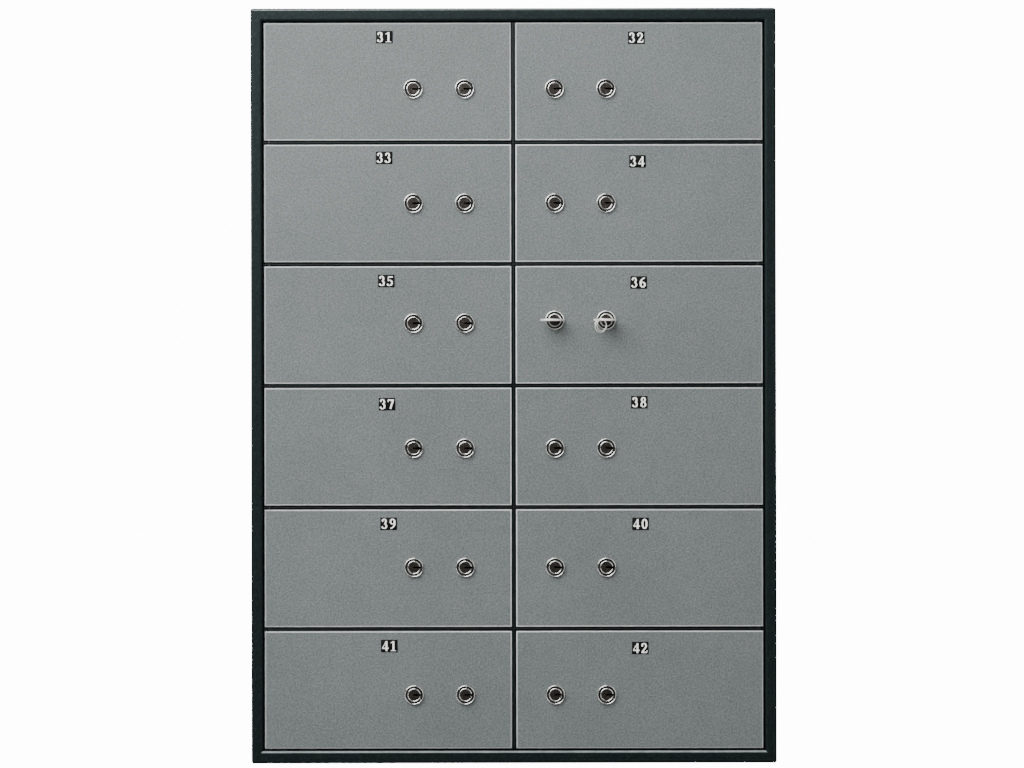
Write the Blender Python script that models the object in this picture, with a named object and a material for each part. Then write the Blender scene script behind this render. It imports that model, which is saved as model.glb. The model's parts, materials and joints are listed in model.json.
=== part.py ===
"""Lock-box cabinet of the kind that stands in a postal room: a welded steel casing
with twelve numbered doors in two columns. Each door is a folded pan that hangs on a
full-height hinge rod, and carries a dual-key lock whose bolt throws into a hollow
post between the columns.

The casing's bottom face is centred on the origin, and the doors face -Y. Depths are
measured backwards from the face of the frame.
"""

import math

import bmesh
import bpy
from mathutils import Matrix, Vector

# Outer size of the casing.
WIDTH = 0.640
HEIGHT = 0.920
DEPTH = 0.430

# Sheet metal, and the gap that touching pieces keep.
SHEET = 0.002
LIGHT_SHEET = 0.0015
CLEARANCE = 0.0003

# Folded face of the casing, and the lip that turns back from it.
SIDE_FACE = 0.0145
END_FACE = 0.016
LIP_DEPTH = 0.022
FRAME_BEND = 0.0025
ANCHOR_RADIUS = 0.0045
ANCHOR_INSET = 0.070

# Doors: six rows in two columns, numbered across each row.
ROWS = 6
FIRST_NUMBER = 31
COLUMN_GAP = 0.0045
ROW_GAP = 0.0042
DOOR_REVEAL = 0.0015
DOOR_SETBACK = 0.002
DOOR_DEPTH = 0.012
DOOR_BEND = 0.003
DOOR_WIDTH = (WIDTH - 2 * (SIDE_FACE + DOOR_REVEAL) - COLUMN_GAP) / 2
DOOR_HEIGHT = (HEIGHT - 2 * (END_FACE + DOOR_REVEAL) - (ROWS - 1) * ROW_GAP) / ROWS
ROW_PITCH = DOOR_HEIGHT + ROW_GAP

# Hinge rods.
HINGE_INSET = 0.006
HINGE_DEPTH = DOOR_SETBACK + DOOR_DEPTH / 2
HINGE_X = WIDTH / 2 - SIDE_FACE - DOOR_REVEAL - HINGE_INSET
ROD_RADIUS = 0.0025
ROD_HEAD_RADIUS = 0.0042
ROD_HEAD = 0.002
ROD_TAIL = 0.004

# Centre post, and the sheet that runs back from it.
POST_WIDTH = 0.026
POST_FRONT = 0.015
POST_BACK = 0.040
FIN_FRONT = 0.004

# Shelves.
SHELF_FRONT = 0.004
STOP_LIP_DEPTH = 0.015
STOP_LIP_DROP = 0.012
STOP_LIP_REACH = 0.285

# Locks: how far below its door's top each row's key plugs sit, and how far the nearer
# plug is from the door's free edge in each column.
LOCK_DROP = (0.081, 0.072, 0.070, 0.074, 0.071, 0.078)
KEYED_DOOR = 36
KEYED_DOOR_LIFT = 0.0035
NOSE_INSET = {"left": 0.057, "right": 0.048}
NOSE_SPACING = 0.0626
NOSE_RADIUS = 0.01175
NOSE_PROUD = 0.0035
PLUG_RADIUS = 0.0086
PLUG_SETBACK = 0.0003
PLUG_BACK = 0.017
CORE_RADIUS = 0.00625
CORE_RECESS = 0.0012
KEYWAY_WIDTH = 0.0022
KEYWAY_BACK = 0.015
KEYWAY_START = 0.0012

# Lock case on the back of each door.
CASE_WALL = 0.002
CASE_BACK = 0.034
CASE_HEIGHT = 0.062
CASE_END_GAP = 0.014
CASE_MARGIN = 0.016
GUIDE_LENGTH = 0.030

# Bolt, and the crank on the renter's plug that throws it.
THROW = 0.014
BOLT_FRONT = 0.0196
BOLT_BACK = 0.0270
BOLT_LOW = -0.009
BOLT_HIGH = 0.017
BOLT_TAIL = 0.007
CRANK_RADIUS = THROW / math.sqrt(2)
CRANK_BACK = 0.019
CRANK_WIDTH = 0.007
PIN_RADIUS = 0.002
PIN_BACK = 0.028
SLOT_WIDTH = 0.0052
CAM_LENGTH = 0.0125
STRIKE_MARGIN = 0.001

# Keys, and the ring on one of them.
KEY_THICKNESS = 0.0022
BLADE_THICKNESS = 0.0016
BLADE_WIDTH = 0.0068
BLADE_BACK = 0.0145
NECK_WIDTH = 0.0085
NECK_GAP = 0.0008
BOW_SIZE = (0.0280, 0.0240)
BOW_SHIFT = {"renter_key": -0.0040, "guard_key": -0.0020}
BOW_FRONT = 0.0045
BOW_HOLE_RADIUS = 0.0038
BOW_BRIDGE = 0.0024
RING_RADIUS = 0.0090
RING_WIRE = 0.0009
RING_DROP = 0.0064
RING_TURN = math.radians(35)
RING_REACH = 0.0060

# Cuts in a key's blade: how far in each starts and how deep it is, and their width.
BIT_CUTS = ((0.0040, 0.0016), (0.0075, 0.0026), (0.0110, 0.0012))
BIT_WIDTH = 0.0018

# Facets of round shapes, and the angle above which an edge is shaded sharp.
ROUND = 16
ROUND_SMALL = 12
BEND_STEPS = 3
RING_STEPS = 24
WIRE_STEPS = 6
SHARP_ANGLE = math.radians(30)

# How far a joined shape sinks into its neighbour, and how far a cutter runs past it.
OVERLAP = 0.0005
THROUGH = 0.010

CABINET_NAME = "cluster_mailbox_unit"

LOOKS = {
    "frame": ((0.020, 0.033, 0.034), 0.55, 0.0),
    "liner": ((0.028, 0.038, 0.040), 0.60, 0.0),
    "door": ((0.255, 0.270, 0.262), 0.50, 0.0),
    "chrome": ((0.62, 0.62, 0.60), 0.18, 1.0),
    "zinc": ((0.48, 0.48, 0.47), 0.38, 1.0),
    "nickel": ((0.66, 0.64, 0.58), 0.25, 1.0),
}


def back(depth):
    """World Y of a depth behind the frame's face."""
    return depth - DEPTH / 2


def clear_scene():
    for obj in list(bpy.data.objects):
        bpy.data.objects.remove(obj, do_unlink=True)


def make_collection(name):
    collection = bpy.data.collections.new(name)
    bpy.context.scene.collection.children.link(collection)
    return collection


def look_material(name, look):
    """A Principled material with one of the cabinet's finishes."""
    colour, roughness, metallic = LOOKS[look]
    material = bpy.data.materials.new(name)
    material.use_nodes = True
    shader = material.node_tree.nodes["Principled BSDF"]
    shader.inputs["Base Color"].default_value = (*colour, 1.0)
    shader.inputs["Roughness"].default_value = roughness
    shader.inputs["Metallic"].default_value = metallic
    material.diffuse_color = (*colour, 1.0)
    return material


def add_part(name, mesh, look, location=(0, 0, 0), parent=None):
    """Places a mesh as one named piece of the cabinet."""
    obj = bpy.data.objects.new(name, mesh)
    PARTS.objects.link(obj)
    obj.location = location
    obj.parent = parent
    if not mesh.materials:
        mesh.materials.append(None)
    obj.material_slots[0].link = "OBJECT"
    obj.material_slots[0].material = look_material(name, look)
    return obj


def add_cutter(name, mesh, parent=None):
    """Places a mesh that only cuts or joins, so it isn't a piece itself."""
    obj = bpy.data.objects.new(name, mesh)
    CUTTERS.objects.link(obj)
    obj.parent = parent
    obj.hide_render = True
    obj.display_type = "WIRE"
    return obj


def combine(target, operation, label, mesh):
    """Cuts a mesh from a piece, or joins it on, in the piece's own space."""
    modifier = target.modifiers.new(label, "BOOLEAN")
    modifier.operation = operation
    modifier.solver = "EXACT"
    modifier.object = add_cutter(f"{target.name}_{label}", mesh, target)


def close_mesh(bm, name):
    mesh = bpy.data.meshes.new(name)
    bm.to_mesh(mesh)
    bm.free()
    mesh.shade_smooth()
    mesh.set_sharp_from_angle(angle=SHARP_ANGLE)
    return mesh


def put_box(bm, low, high):
    low, high = Vector(low), Vector(high)
    size = Matrix.Diagonal(high - low).to_4x4()
    return bmesh.ops.create_cube(bm, size=1.0, matrix=Matrix.Translation((low + high) / 2) @ size)


def put_cylinder(bm, start, end, radius, segments=ROUND):
    start, end = Vector(start), Vector(end)
    run = end - start
    turn = run.to_track_quat("Z", "Y").to_matrix().to_4x4()
    bmesh.ops.create_cone(
        bm,
        cap_ends=True,
        segments=segments,
        radius1=radius,
        radius2=radius,
        depth=run.length,
        matrix=Matrix.Translation((start + end) / 2) @ turn,
    )


def boxes(name, *spans):
    """A mesh of separate boxes, each given by its low and high corner."""
    bm = bmesh.new()
    for low, high in spans:
        put_box(bm, low, high)
    return close_mesh(bm, name)


def cylinders(name, radius, *runs, segments=ROUND):
    """A mesh of separate cylinders of one radius, each given by its two ends."""
    bm = bmesh.new()
    for start, end in runs:
        put_cylinder(bm, start, end, radius, segments)
    return close_mesh(bm, name)


def folded_box(name, low, high, bend):
    """A box whose four front edges are rounded, as a sheet folded at its face."""
    bm = bmesh.new()
    put_box(bm, low, high)
    front = [e for e in bm.edges if all(abs(v.co.y - low[1]) < OVERLAP / 10 for v in e.verts)]
    bmesh.ops.bevel(
        bm,
        geom=front,
        offset=bend,
        offset_type="OFFSET",
        segments=BEND_STEPS,
        profile=0.5,
        affect="EDGES",
    )
    return close_mesh(bm, name)


def plain_mesh(obj, name):
    """The evaluated shape of a master object as a mesh that copies can share."""
    graph = bpy.context.evaluated_depsgraph_get()
    mesh = bpy.data.meshes.new_from_object(obj.evaluated_get(graph))
    mesh.name = name
    mesh.shade_smooth()
    mesh.set_sharp_from_angle(angle=SHARP_ANGLE)
    return mesh


def remove_master(obj):
    for modifier in list(obj.modifiers):
        bpy.data.objects.remove(modifier.object, do_unlink=True)
    bpy.data.objects.remove(obj, do_unlink=True)


def row_of(number):
    return (number - FIRST_NUMBER) // 2


def side_of(number):
    return "left" if number % 2 else "right"


def free_direction(side):
    """Sign of X from a door's hinge towards its free edge."""
    return 1 if side == "left" else -1


def door_bottom(row):
    return HEIGHT - END_FACE - DOOR_REVEAL - DOOR_HEIGHT - row * ROW_PITCH


def lock_height(number):
    """World Z of a door's two key plugs."""
    lift = KEYED_DOOR_LIFT if number == KEYED_DOOR else 0
    return door_bottom(row_of(number)) + DOOR_HEIGHT - LOCK_DROP[row_of(number)] + lift


def shelf_height(level):
    """World Z of the middle of the shelf under the given row."""
    return door_bottom(level) - ROW_GAP / 2


def make_casing():
    """Five welded sides, a folded front face and the lip that turns back from it."""
    half, inner = WIDTH / 2, WIDTH / 2 - SHEET
    open_x, open_low, open_high = half - SIDE_FACE, END_FACE, HEIGHT - END_FACE
    casing = add_part(
        "outer_casing",
        folded_box("outer_casing", (-half, back(0), 0), (half, back(DEPTH), HEIGHT), FRAME_BEND),
        "frame",
    )
    room = ((-inner, back(SHEET), SHEET), (inner, back(DEPTH - SHEET), HEIGHT - SHEET))
    combine(casing, "DIFFERENCE", "room", boxes("room", room))
    lip = (
        (-open_x - SHEET, back(SHEET - OVERLAP), open_low - SHEET),
        (open_x + SHEET, back(LIP_DEPTH), open_high + SHEET),
    )
    combine(casing, "UNION", "lip", boxes("lip", lip))
    doorway = ((-open_x, back(-THROUGH), open_low), (open_x, back(LIP_DEPTH + THROUGH), open_high))
    combine(casing, "DIFFERENCE", "doorway", boxes("doorway", doorway))
    seats = [
        ((x, back(HINGE_DEPTH), middle - THROUGH), (x, back(HINGE_DEPTH), middle + THROUGH))
        for x in (-HINGE_X, HINGE_X)
        for middle in (open_low - SHEET / 2, open_high + SHEET / 2)
    ]
    seat_mesh = cylinders("rod_seats", ROD_RADIUS + CLEARANCE, *seats, segments=ROUND_SMALL)
    combine(casing, "DIFFERENCE", "rod_seats", seat_mesh)
    anchors = [
        ((x, back(DEPTH - THROUGH), z), (x, back(DEPTH + THROUGH), z))
        for x in (ANCHOR_INSET - half, half - ANCHOR_INSET)
        for z in (ANCHOR_INSET, HEIGHT - ANCHOR_INSET)
    ]
    anchor_mesh = cylinders("anchor_holes", ANCHOR_RADIUS, *anchors, segments=ROUND_SMALL)
    combine(casing, "DIFFERENCE", "anchor_holes", anchor_mesh)


def strike_openings():
    """Boxes that cut the bolts' strikes through the post's two side walls."""
    reach = POST_WIDTH / 2 + THROUGH
    spans = []
    for number in range(FIRST_NUMBER, FIRST_NUMBER + 2 * ROWS):
        way = free_direction(side_of(number))
        near, far = sorted((-way * OVERLAP, -way * reach))
        z = lock_height(number)
        low = (near, back(BOLT_FRONT - STRIKE_MARGIN), z + BOLT_LOW - STRIKE_MARGIN)
        high = (far, back(BOLT_BACK + STRIKE_MARGIN), z + BOLT_HIGH + STRIKE_MARGIN)
        spans.append((low, high))
    return boxes("strikes", *spans)


def make_partition():
    """The hollow post that the bolts throw into, its front fin and its rear sheet."""
    half, wall = POST_WIDTH / 2, LIGHT_SHEET
    low_z, high_z = END_FACE + CLEARANCE, HEIGHT - END_FACE - CLEARANCE
    post = ((-half, back(POST_FRONT), low_z), (half, back(POST_BACK), high_z))
    partition = add_part("centre_partition", boxes("centre_partition", post), "liner")
    hollow = (
        (wall - half, back(POST_FRONT + wall), low_z - THROUGH),
        (half - wall, back(POST_BACK - wall), high_z + THROUGH),
    )
    combine(partition, "DIFFERENCE", "hollow", boxes("hollow", hollow))
    fin = (
        (-wall / 2, back(FIN_FRONT), low_z + OVERLAP),
        (wall / 2, back(POST_FRONT + OVERLAP), high_z - OVERLAP),
    )
    sheet = (
        (-wall / 2, back(POST_BACK - OVERLAP), SHEET + CLEARANCE),
        (wall / 2, back(DEPTH - SHEET - CLEARANCE), HEIGHT - SHEET - CLEARANCE),
    )
    combine(partition, "UNION", "sheets", boxes("sheets", fin, sheet))
    combine(partition, "DIFFERENCE", "strikes", strike_openings())
    room = LIGHT_SHEET / 2 + CLEARANCE
    laps = [
        (
            (-THROUGH, back(DEPTH / 2), shelf_height(level) - room),
            (THROUGH, back(DEPTH), shelf_height(level) + room),
        )
        for level in range(ROWS - 1)
    ]
    combine(partition, "DIFFERENCE", "laps", boxes("laps", *laps))


def shelf_mesh():
    """One shelf about its own middle height, with its stop lip and its notches."""
    half = WIDTH / 2 - SHEET - CLEARANCE
    doorway = WIDTH / 2 - SIDE_FACE - CLEARANCE
    thick = LIGHT_SHEET / 2
    rear = back(DEPTH - SHEET - CLEARANCE)
    plate = boxes("shelf", ((-half, back(SHELF_FRONT), -thick), (half, rear, thick)))
    shelf = add_part("shelf_master", plate, "liner")
    stop = (
        (-STOP_LIP_REACH, back(STOP_LIP_DEPTH), -STOP_LIP_DROP),
        (STOP_LIP_REACH, back(STOP_LIP_DEPTH + LIGHT_SHEET), thick - OVERLAP),
    )
    combine(shelf, "UNION", "stop", boxes("stop", stop))
    corners = [
        ((low_x, back(-THROUGH), -THROUGH), (high_x, back(LIP_DEPTH + CLEARANCE), THROUGH))
        for low_x, high_x in ((-half - THROUGH, -doorway), (doorway, half + THROUGH))
    ]
    combine(shelf, "DIFFERENCE", "corners", boxes("corners", *corners))
    post_half = POST_WIDTH / 2 + CLEARANCE
    post = (
        (-post_half, back(POST_FRONT - CLEARANCE), -2 * STOP_LIP_DROP),
        (post_half, back(POST_BACK + CLEARANCE), THROUGH),
    )
    combine(shelf, "DIFFERENCE", "post_notch", boxes("post_notch", post))
    lap_half = LIGHT_SHEET / 2 + CLEARANCE
    lap = ((-lap_half, back(-THROUGH), -THROUGH), (lap_half, back(DEPTH / 2 + CLEARANCE), THROUGH))
    combine(shelf, "DIFFERENCE", "lap", boxes("lap", lap))
    rods = [
        ((x, back(HINGE_DEPTH), -THROUGH), (x, back(HINGE_DEPTH), THROUGH))
        for x in (-HINGE_X, HINGE_X)
    ]
    rod_holes = cylinders("rod_holes", ROD_RADIUS + CLEARANCE, *rods, segments=ROUND_SMALL)
    combine(shelf, "DIFFERENCE", "rod_holes", rod_holes)
    mesh = plain_mesh(shelf, "shelf")
    remove_master(shelf)
    return mesh


def make_shelves():
    mesh = shelf_mesh()
    for level in range(ROWS - 1):
        add_part(f"shelf_{level + 1}", mesh, "liner", (0, 0, shelf_height(level)))


def make_hinge_rods():
    """Headed rods that hang in the casing's top lip and run through every door."""
    head_low = HEIGHT - END_FACE + SHEET + CLEARANCE
    foot = END_FACE - SHEET - ROD_TAIL
    bm = bmesh.new()
    put_cylinder(bm, (0, 0, foot), (0, 0, head_low + ROD_HEAD / 2), ROD_RADIUS, ROUND_SMALL)
    rod = add_part("rod_master", close_mesh(bm, "hinge_rod"), "zinc")
    head = cylinders(
        "head",
        ROD_HEAD_RADIUS,
        ((0, 0, head_low), (0, 0, head_low + ROD_HEAD)),
        segments=ROUND_SMALL,
    )
    combine(rod, "UNION", "head", head)
    mesh = plain_mesh(rod, "hinge_rod")
    remove_master(rod)
    for side, x in (("left", -HINGE_X), ("right", HINGE_X)):
        add_part(f"hinge_rod_{side}", mesh, "zinc", (x, back(HINGE_DEPTH), 0))


def door_span(way, near, far, front, rear, low, high):
    """A box in a door's space, from distances towards the free edge, depths and heights."""
    x0, x1 = sorted((way * near, way * far))
    return (x0, front - HINGE_DEPTH, low), (x1, rear - HINGE_DEPTH, high)


def nose_reach(side):
    """Distances from the hinge to the renter's nose and to the guard's nose."""
    free_edge = DOOR_WIDTH - HINGE_INSET
    renter = free_edge - NOSE_INSET[side]
    return renter, renter - NOSE_SPACING


def make_door(number):
    """A folded pan with its two lock noses and the lock case joined on behind."""
    side = side_of(number)
    way = free_direction(side)
    base = door_bottom(row_of(number))
    lock_z = lock_height(number) - base
    free_edge = DOOR_WIDTH - HINGE_INSET
    skin_back = DOOR_SETBACK + SHEET
    door_back = DOOR_SETBACK + DOOR_DEPTH
    low, high = door_span(way, -HINGE_INSET, free_edge, DOOR_SETBACK, door_back, 0, DOOR_HEIGHT)
    door = add_part(
        f"door_{number}",
        folded_box(f"door_{number}", low, high, DOOR_BEND),
        "door",
        (-way * HINGE_X, back(HINGE_DEPTH), base),
    )
    recess = door_span(
        way,
        SHEET - HINGE_INSET,
        free_edge - SHEET,
        skin_back,
        door_back + THROUGH,
        SHEET,
        DOOR_HEIGHT - SHEET,
    )
    combine(door, "DIFFERENCE", "recess", boxes("recess", recess))

    renter, guard = nose_reach(side)
    case_end, case_start = free_edge - CASE_END_GAP, guard - CASE_MARGIN
    case_low, case_high = lock_z - CASE_HEIGHT / 2, lock_z + CASE_HEIGHT / 2
    case = door_span(way, case_start, case_end, skin_back - OVERLAP, CASE_BACK, case_low, case_high)
    combine(door, "UNION", "case", boxes("case", case))
    inside = door_span(
        way,
        case_start + CASE_WALL,
        case_end - CASE_WALL,
        skin_back,
        CASE_BACK - CASE_WALL,
        case_low + CASE_WALL,
        case_high - CASE_WALL,
    )
    combine(door, "DIFFERENCE", "case_inside", boxes("case_inside", inside))

    nose_front = DOOR_SETBACK - NOSE_PROUD - HINGE_DEPTH
    noses = [(way * reach, lock_z) for reach in (renter, guard)]
    rings = [((x, nose_front, z), (x, skin_back - OVERLAP - HINGE_DEPTH, z)) for x, z in noses]
    combine(door, "UNION", "noses", cylinders("noses", NOSE_RADIUS, *rings))
    bores = [((x, nose_front - THROUGH, z), (x, skin_back, z)) for x, z in noses]
    combine(door, "DIFFERENCE", "bores", cylinders("bores", PLUG_RADIUS + CLEARANCE, *bores))

    hinge_hole = ((0, 0, -THROUGH), (0, 0, DOOR_HEIGHT + THROUGH))
    hinge_mesh = cylinders("hinge", ROD_RADIUS + CLEARANCE, hinge_hole, segments=ROUND_SMALL)
    combine(door, "DIFFERENCE", "hinge", hinge_mesh)

    slot = door_span(
        way,
        case_end - CASE_WALL - OVERLAP,
        case_end + OVERLAP,
        BOLT_FRONT - CLEARANCE,
        BOLT_BACK + CLEARANCE,
        lock_z + BOLT_LOW - CLEARANCE,
        lock_z + BOLT_HIGH + CLEARANCE,
    )
    combine(door, "DIFFERENCE", "bolt_slot", boxes("bolt_slot", slot))
    guides = [
        door_span(
            way,
            case_end - CASE_WALL - GUIDE_LENGTH,
            case_end - OVERLAP,
            BOLT_FRONT,
            CASE_BACK - OVERLAP,
            min(z, z + step),
            max(z, z + step),
        )
        for z, step in (
            (lock_z + BOLT_LOW - CLEARANCE, -CASE_WALL),
            (lock_z + BOLT_HIGH + CLEARANCE, CASE_WALL),
        )
    ]
    combine(door, "UNION", "guides", boxes("guides", *guides))
    return door


def plug_master(name, crank_turn, crank_length):
    """A key plug about its own axis, with a flat arm on its back end.

    The plug's front face is at Y = 0 and its back runs towards +Y. The arm points up,
    turned clockwise from the front by crank_turn.
    """
    length = PLUG_BACK - (DOOR_SETBACK - NOSE_PROUD + PLUG_SETBACK)
    body = cylinders(name, PLUG_RADIUS, ((0, 0, 0), (0, length, 0)))
    plug = add_part(name, body, "chrome")
    core = cylinders("core", CORE_RADIUS, ((0, -THROUGH, 0), (0, CORE_RECESS, 0)))
    combine(plug, "DIFFERENCE", "core", core)
    arm = boxes(
        "arm",
        (
            (-CRANK_WIDTH / 2, length - OVERLAP, -CRANK_WIDTH / 2),
            (CRANK_WIDTH / 2, length + CRANK_BACK - PLUG_BACK, crank_length),
        ),
    )
    arm.transform(Matrix.Rotation(crank_turn, 4, "Y"))
    combine(plug, "UNION", "arm", arm)
    keyway_back = KEYWAY_BACK - PLUG_BACK + length
    keyway = (
        (-KEYWAY_START, -THROUGH, -KEYWAY_WIDTH / 2),
        (PLUG_RADIUS + THROUGH, keyway_back, KEYWAY_WIDTH / 2),
    )
    combine(plug, "DIFFERENCE", "keyway", boxes("keyway", keyway))
    return plug, length


def renter_plug_mesh(side):
    """The plug whose crank pin carries the bolt; at rest it leans from the free edge."""
    turn = -free_direction(side) * math.pi / 4
    reach = CRANK_RADIUS + CRANK_WIDTH / 2
    plug, length = plug_master(f"renter_plug_{side}", turn, reach)
    arm_back = length + CRANK_BACK - PLUG_BACK
    x, z = CRANK_RADIUS * math.sin(turn), CRANK_RADIUS * math.cos(turn)
    pin_run = ((x, arm_back - OVERLAP, z), (x, length + PIN_BACK - PLUG_BACK, z))
    pin = cylinders("pin", PIN_RADIUS, pin_run, segments=ROUND_SMALL)
    combine(plug, "UNION", "pin", pin)
    mesh = plain_mesh(plug, f"renter_plug_{side}")
    remove_master(plug)
    return mesh


def guard_plug_mesh():
    """The plug whose cam hangs down at rest."""
    plug, _ = plug_master("guard_plug_master", math.pi, CAM_LENGTH)
    mesh = plain_mesh(plug, "guard_plug")
    remove_master(plug)
    return mesh


def bolt_mesh(side):
    """A bolt about its door's lock height, with the upright slot for the crank pin."""
    way = free_direction(side)
    renter, _ = nose_reach(side)
    end = DOOR_WIDTH - HINGE_INSET - CASE_END_GAP
    slot_middle = renter - THROW / 2
    bar = door_span(way, slot_middle - BOLT_TAIL, end, BOLT_FRONT, BOLT_BACK, BOLT_LOW, BOLT_HIGH)
    bolt = add_part("bolt_master", boxes("bolt", bar), "zinc")
    pin_low = CRANK_RADIUS * math.cos(math.pi / 4) - PIN_RADIUS - CLEARANCE
    pin_high = CRANK_RADIUS + PIN_RADIUS + CLEARANCE
    slot = door_span(
        way,
        slot_middle - SLOT_WIDTH / 2,
        slot_middle + SLOT_WIDTH / 2,
        BOLT_FRONT - THROUGH,
        BOLT_BACK + THROUGH,
        pin_low,
        pin_high,
    )
    combine(bolt, "DIFFERENCE", "slot", boxes("slot", slot))
    mesh = plain_mesh(bolt, f"lock_bolt_{side}")
    remove_master(bolt)
    return mesh


def make_doors():
    """Every door with its two plugs and its bolt. Returns the keyed door's plugs."""
    guard_mesh = guard_plug_mesh()
    renter_meshes = {side: renter_plug_mesh(side) for side in NOSE_INSET}
    bolt_meshes = {side: bolt_mesh(side) for side in NOSE_INSET}
    plug_y = DOOR_SETBACK - NOSE_PROUD + PLUG_SETBACK - HINGE_DEPTH
    keyed = {}
    for number in range(FIRST_NUMBER, FIRST_NUMBER + 2 * ROWS):
        side = side_of(number)
        way = free_direction(side)
        door = make_door(number)
        lock_z = lock_height(number) - door_bottom(row_of(number))
        renter, guard = nose_reach(side)
        renter_at, guard_at = (way * renter, plug_y, lock_z), (way * guard, plug_y, lock_z)
        renter_name, guard_name = f"renter_plug_{number}", f"guard_plug_{number}"
        renter_plug = add_part(renter_name, renter_meshes[side], "chrome", renter_at, door)
        guard_plug = add_part(guard_name, guard_mesh, "chrome", guard_at, door)
        add_part(f"lock_bolt_{number}", bolt_meshes[side], "zinc", (0, 0, lock_z), door)
        if number == KEYED_DOOR:
            keyed = {"renter_key": renter_plug, "guard_key": guard_plug}
    return keyed


def bow_hole(shift):
    """The middle of the bow's hole, in from the bow's front edge."""
    return Vector((shift, -BOW_FRONT - BOW_SIZE[1] + BOW_BRIDGE + BOW_HOLE_RADIUS, 0))


def make_key(name, plug):
    """A flat key seated in its plug, with its bow level and its bits along one edge."""
    shift = BOW_SHIFT[name]
    middle = -BOW_FRONT - BOW_SIZE[1] / 2
    flat = KEY_THICKNESS / 2
    bm = bmesh.new()
    put_cylinder(bm, (0, 0, -flat), (0, 0, flat), BOW_SIZE[0] / 2, ROUND)
    bmesh.ops.transform(
        bm,
        matrix=Matrix.Translation((shift, middle, 0)) @ Matrix.Diagonal((1, BOW_SIZE[1] / BOW_SIZE[0], 1, 1)),
        verts=bm.verts,
    )
    key = add_part(name, close_mesh(bm, name), "nickel", parent=plug)
    blade_low = CLEARANCE - KEYWAY_START
    blade_high = blade_low + BLADE_WIDTH
    neck_start = blade_low - (NECK_WIDTH - BLADE_WIDTH) / 2
    neck = (
        (neck_start, -2 * BOW_FRONT, -flat),
        (neck_start + NECK_WIDTH, -NECK_GAP, flat),
    )
    combine(key, "UNION", "neck", boxes("neck", neck))
    thin = BLADE_THICKNESS / 2
    blade_end = BLADE_BACK - DOOR_SETBACK + NOSE_PROUD - PLUG_SETBACK
    blade = ((blade_low, -NECK_GAP - OVERLAP, -thin), (blade_high, blade_end, thin))
    combine(key, "UNION", "blade", boxes("blade", blade))
    bits = [
        ((blade_high - depth, start, -THROUGH), (blade_high + THROUGH, start + BIT_WIDTH, THROUGH))
        for start, depth in BIT_CUTS
    ]
    combine(key, "DIFFERENCE", "bits", boxes("bits", *bits))
    hole = bow_hole(shift)
    lift = Vector((0, 0, THROUGH))
    hole_mesh = cylinders("hole", BOW_HOLE_RADIUS, (hole - lift, hole + lift), segments=ROUND_SMALL)
    combine(key, "DIFFERENCE", "hole", hole_mesh)
    return key


def make_key_ring(key):
    """A ring through the bow's hole, hanging over the bridge between hole and rim."""
    outward = Vector((-math.cos(RING_TURN), -math.sin(RING_TURN), 0))
    bridge = outward * RING_REACH
    bpy.ops.mesh.primitive_torus_add(
        major_radius=RING_RADIUS,
        minor_radius=RING_WIRE,
        major_segments=RING_STEPS,
        minor_segments=WIRE_STEPS,
    )
    torus = bpy.context.active_object
    mesh = torus.data
    mesh.name = "key_ring"
    mesh.shade_smooth()
    bpy.data.objects.remove(torus, do_unlink=True)
    mesh.transform(Matrix.Translation((0, 0, -RING_DROP)) @ Matrix.Rotation(math.pi / 2, 4, "X"))
    ring = add_part("key_ring", mesh, "nickel", bow_hole(BOW_SHIFT[key.name]) + bridge, key)
    ring.rotation_euler.z = RING_TURN


clear_scene()
PARTS = make_collection(CABINET_NAME)
CUTTERS = make_collection("cutters")
make_casing()
make_partition()
make_shelves()
make_hinge_rods()
keyed_plugs = make_doors()
keys = {name: make_key(name, plug) for name, plug in keyed_plugs.items()}
make_key_ring(keys["guard_key"])
bpy.context.view_layer.update()
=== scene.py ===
"""Looks of a twelve-door lock-box cabinet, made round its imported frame.

The casing's bottom face is centred on the origin and the doors face -Y. Lengths are in
metres. Every piece is a plain mesh with its place in its vertices, and rides on a body.
"""

import json
import math

import bmesh
import bpy
from mathutils import Matrix, Vector


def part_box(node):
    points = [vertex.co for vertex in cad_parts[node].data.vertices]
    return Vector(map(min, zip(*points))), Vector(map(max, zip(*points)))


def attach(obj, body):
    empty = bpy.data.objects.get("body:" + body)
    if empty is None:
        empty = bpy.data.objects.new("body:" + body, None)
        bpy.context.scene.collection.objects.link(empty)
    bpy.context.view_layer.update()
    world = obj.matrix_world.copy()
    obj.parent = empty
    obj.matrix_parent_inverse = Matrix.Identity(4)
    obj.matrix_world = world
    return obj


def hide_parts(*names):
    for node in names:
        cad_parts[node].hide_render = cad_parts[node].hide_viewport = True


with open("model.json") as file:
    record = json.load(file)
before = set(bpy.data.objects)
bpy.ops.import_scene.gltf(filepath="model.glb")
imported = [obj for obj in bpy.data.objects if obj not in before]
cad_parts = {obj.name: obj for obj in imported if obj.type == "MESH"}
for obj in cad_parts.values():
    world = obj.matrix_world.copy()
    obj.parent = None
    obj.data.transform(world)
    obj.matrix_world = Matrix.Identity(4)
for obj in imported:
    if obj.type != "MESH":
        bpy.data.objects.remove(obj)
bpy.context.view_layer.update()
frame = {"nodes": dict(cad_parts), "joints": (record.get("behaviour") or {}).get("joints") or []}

MM = 0.001
NUMBERS = range(31, 43)
KEYED_DOOR = 36
SHELVES = range(1, 6)
SIDES = {"left": 1, "right": -1}  # the way along X from a column's hinge to its free edge
ROLES = ("renter", "guard")
PIVOTS = {joint["name"]: Vector(joint["pos_m"]) for joint in frame["joints"] if "pos_m" in joint}
CASING_LOW, CASING_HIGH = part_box("outer_casing")
FRONT, REAR = CASING_LOW.y, CASING_HIGH.y

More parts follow.
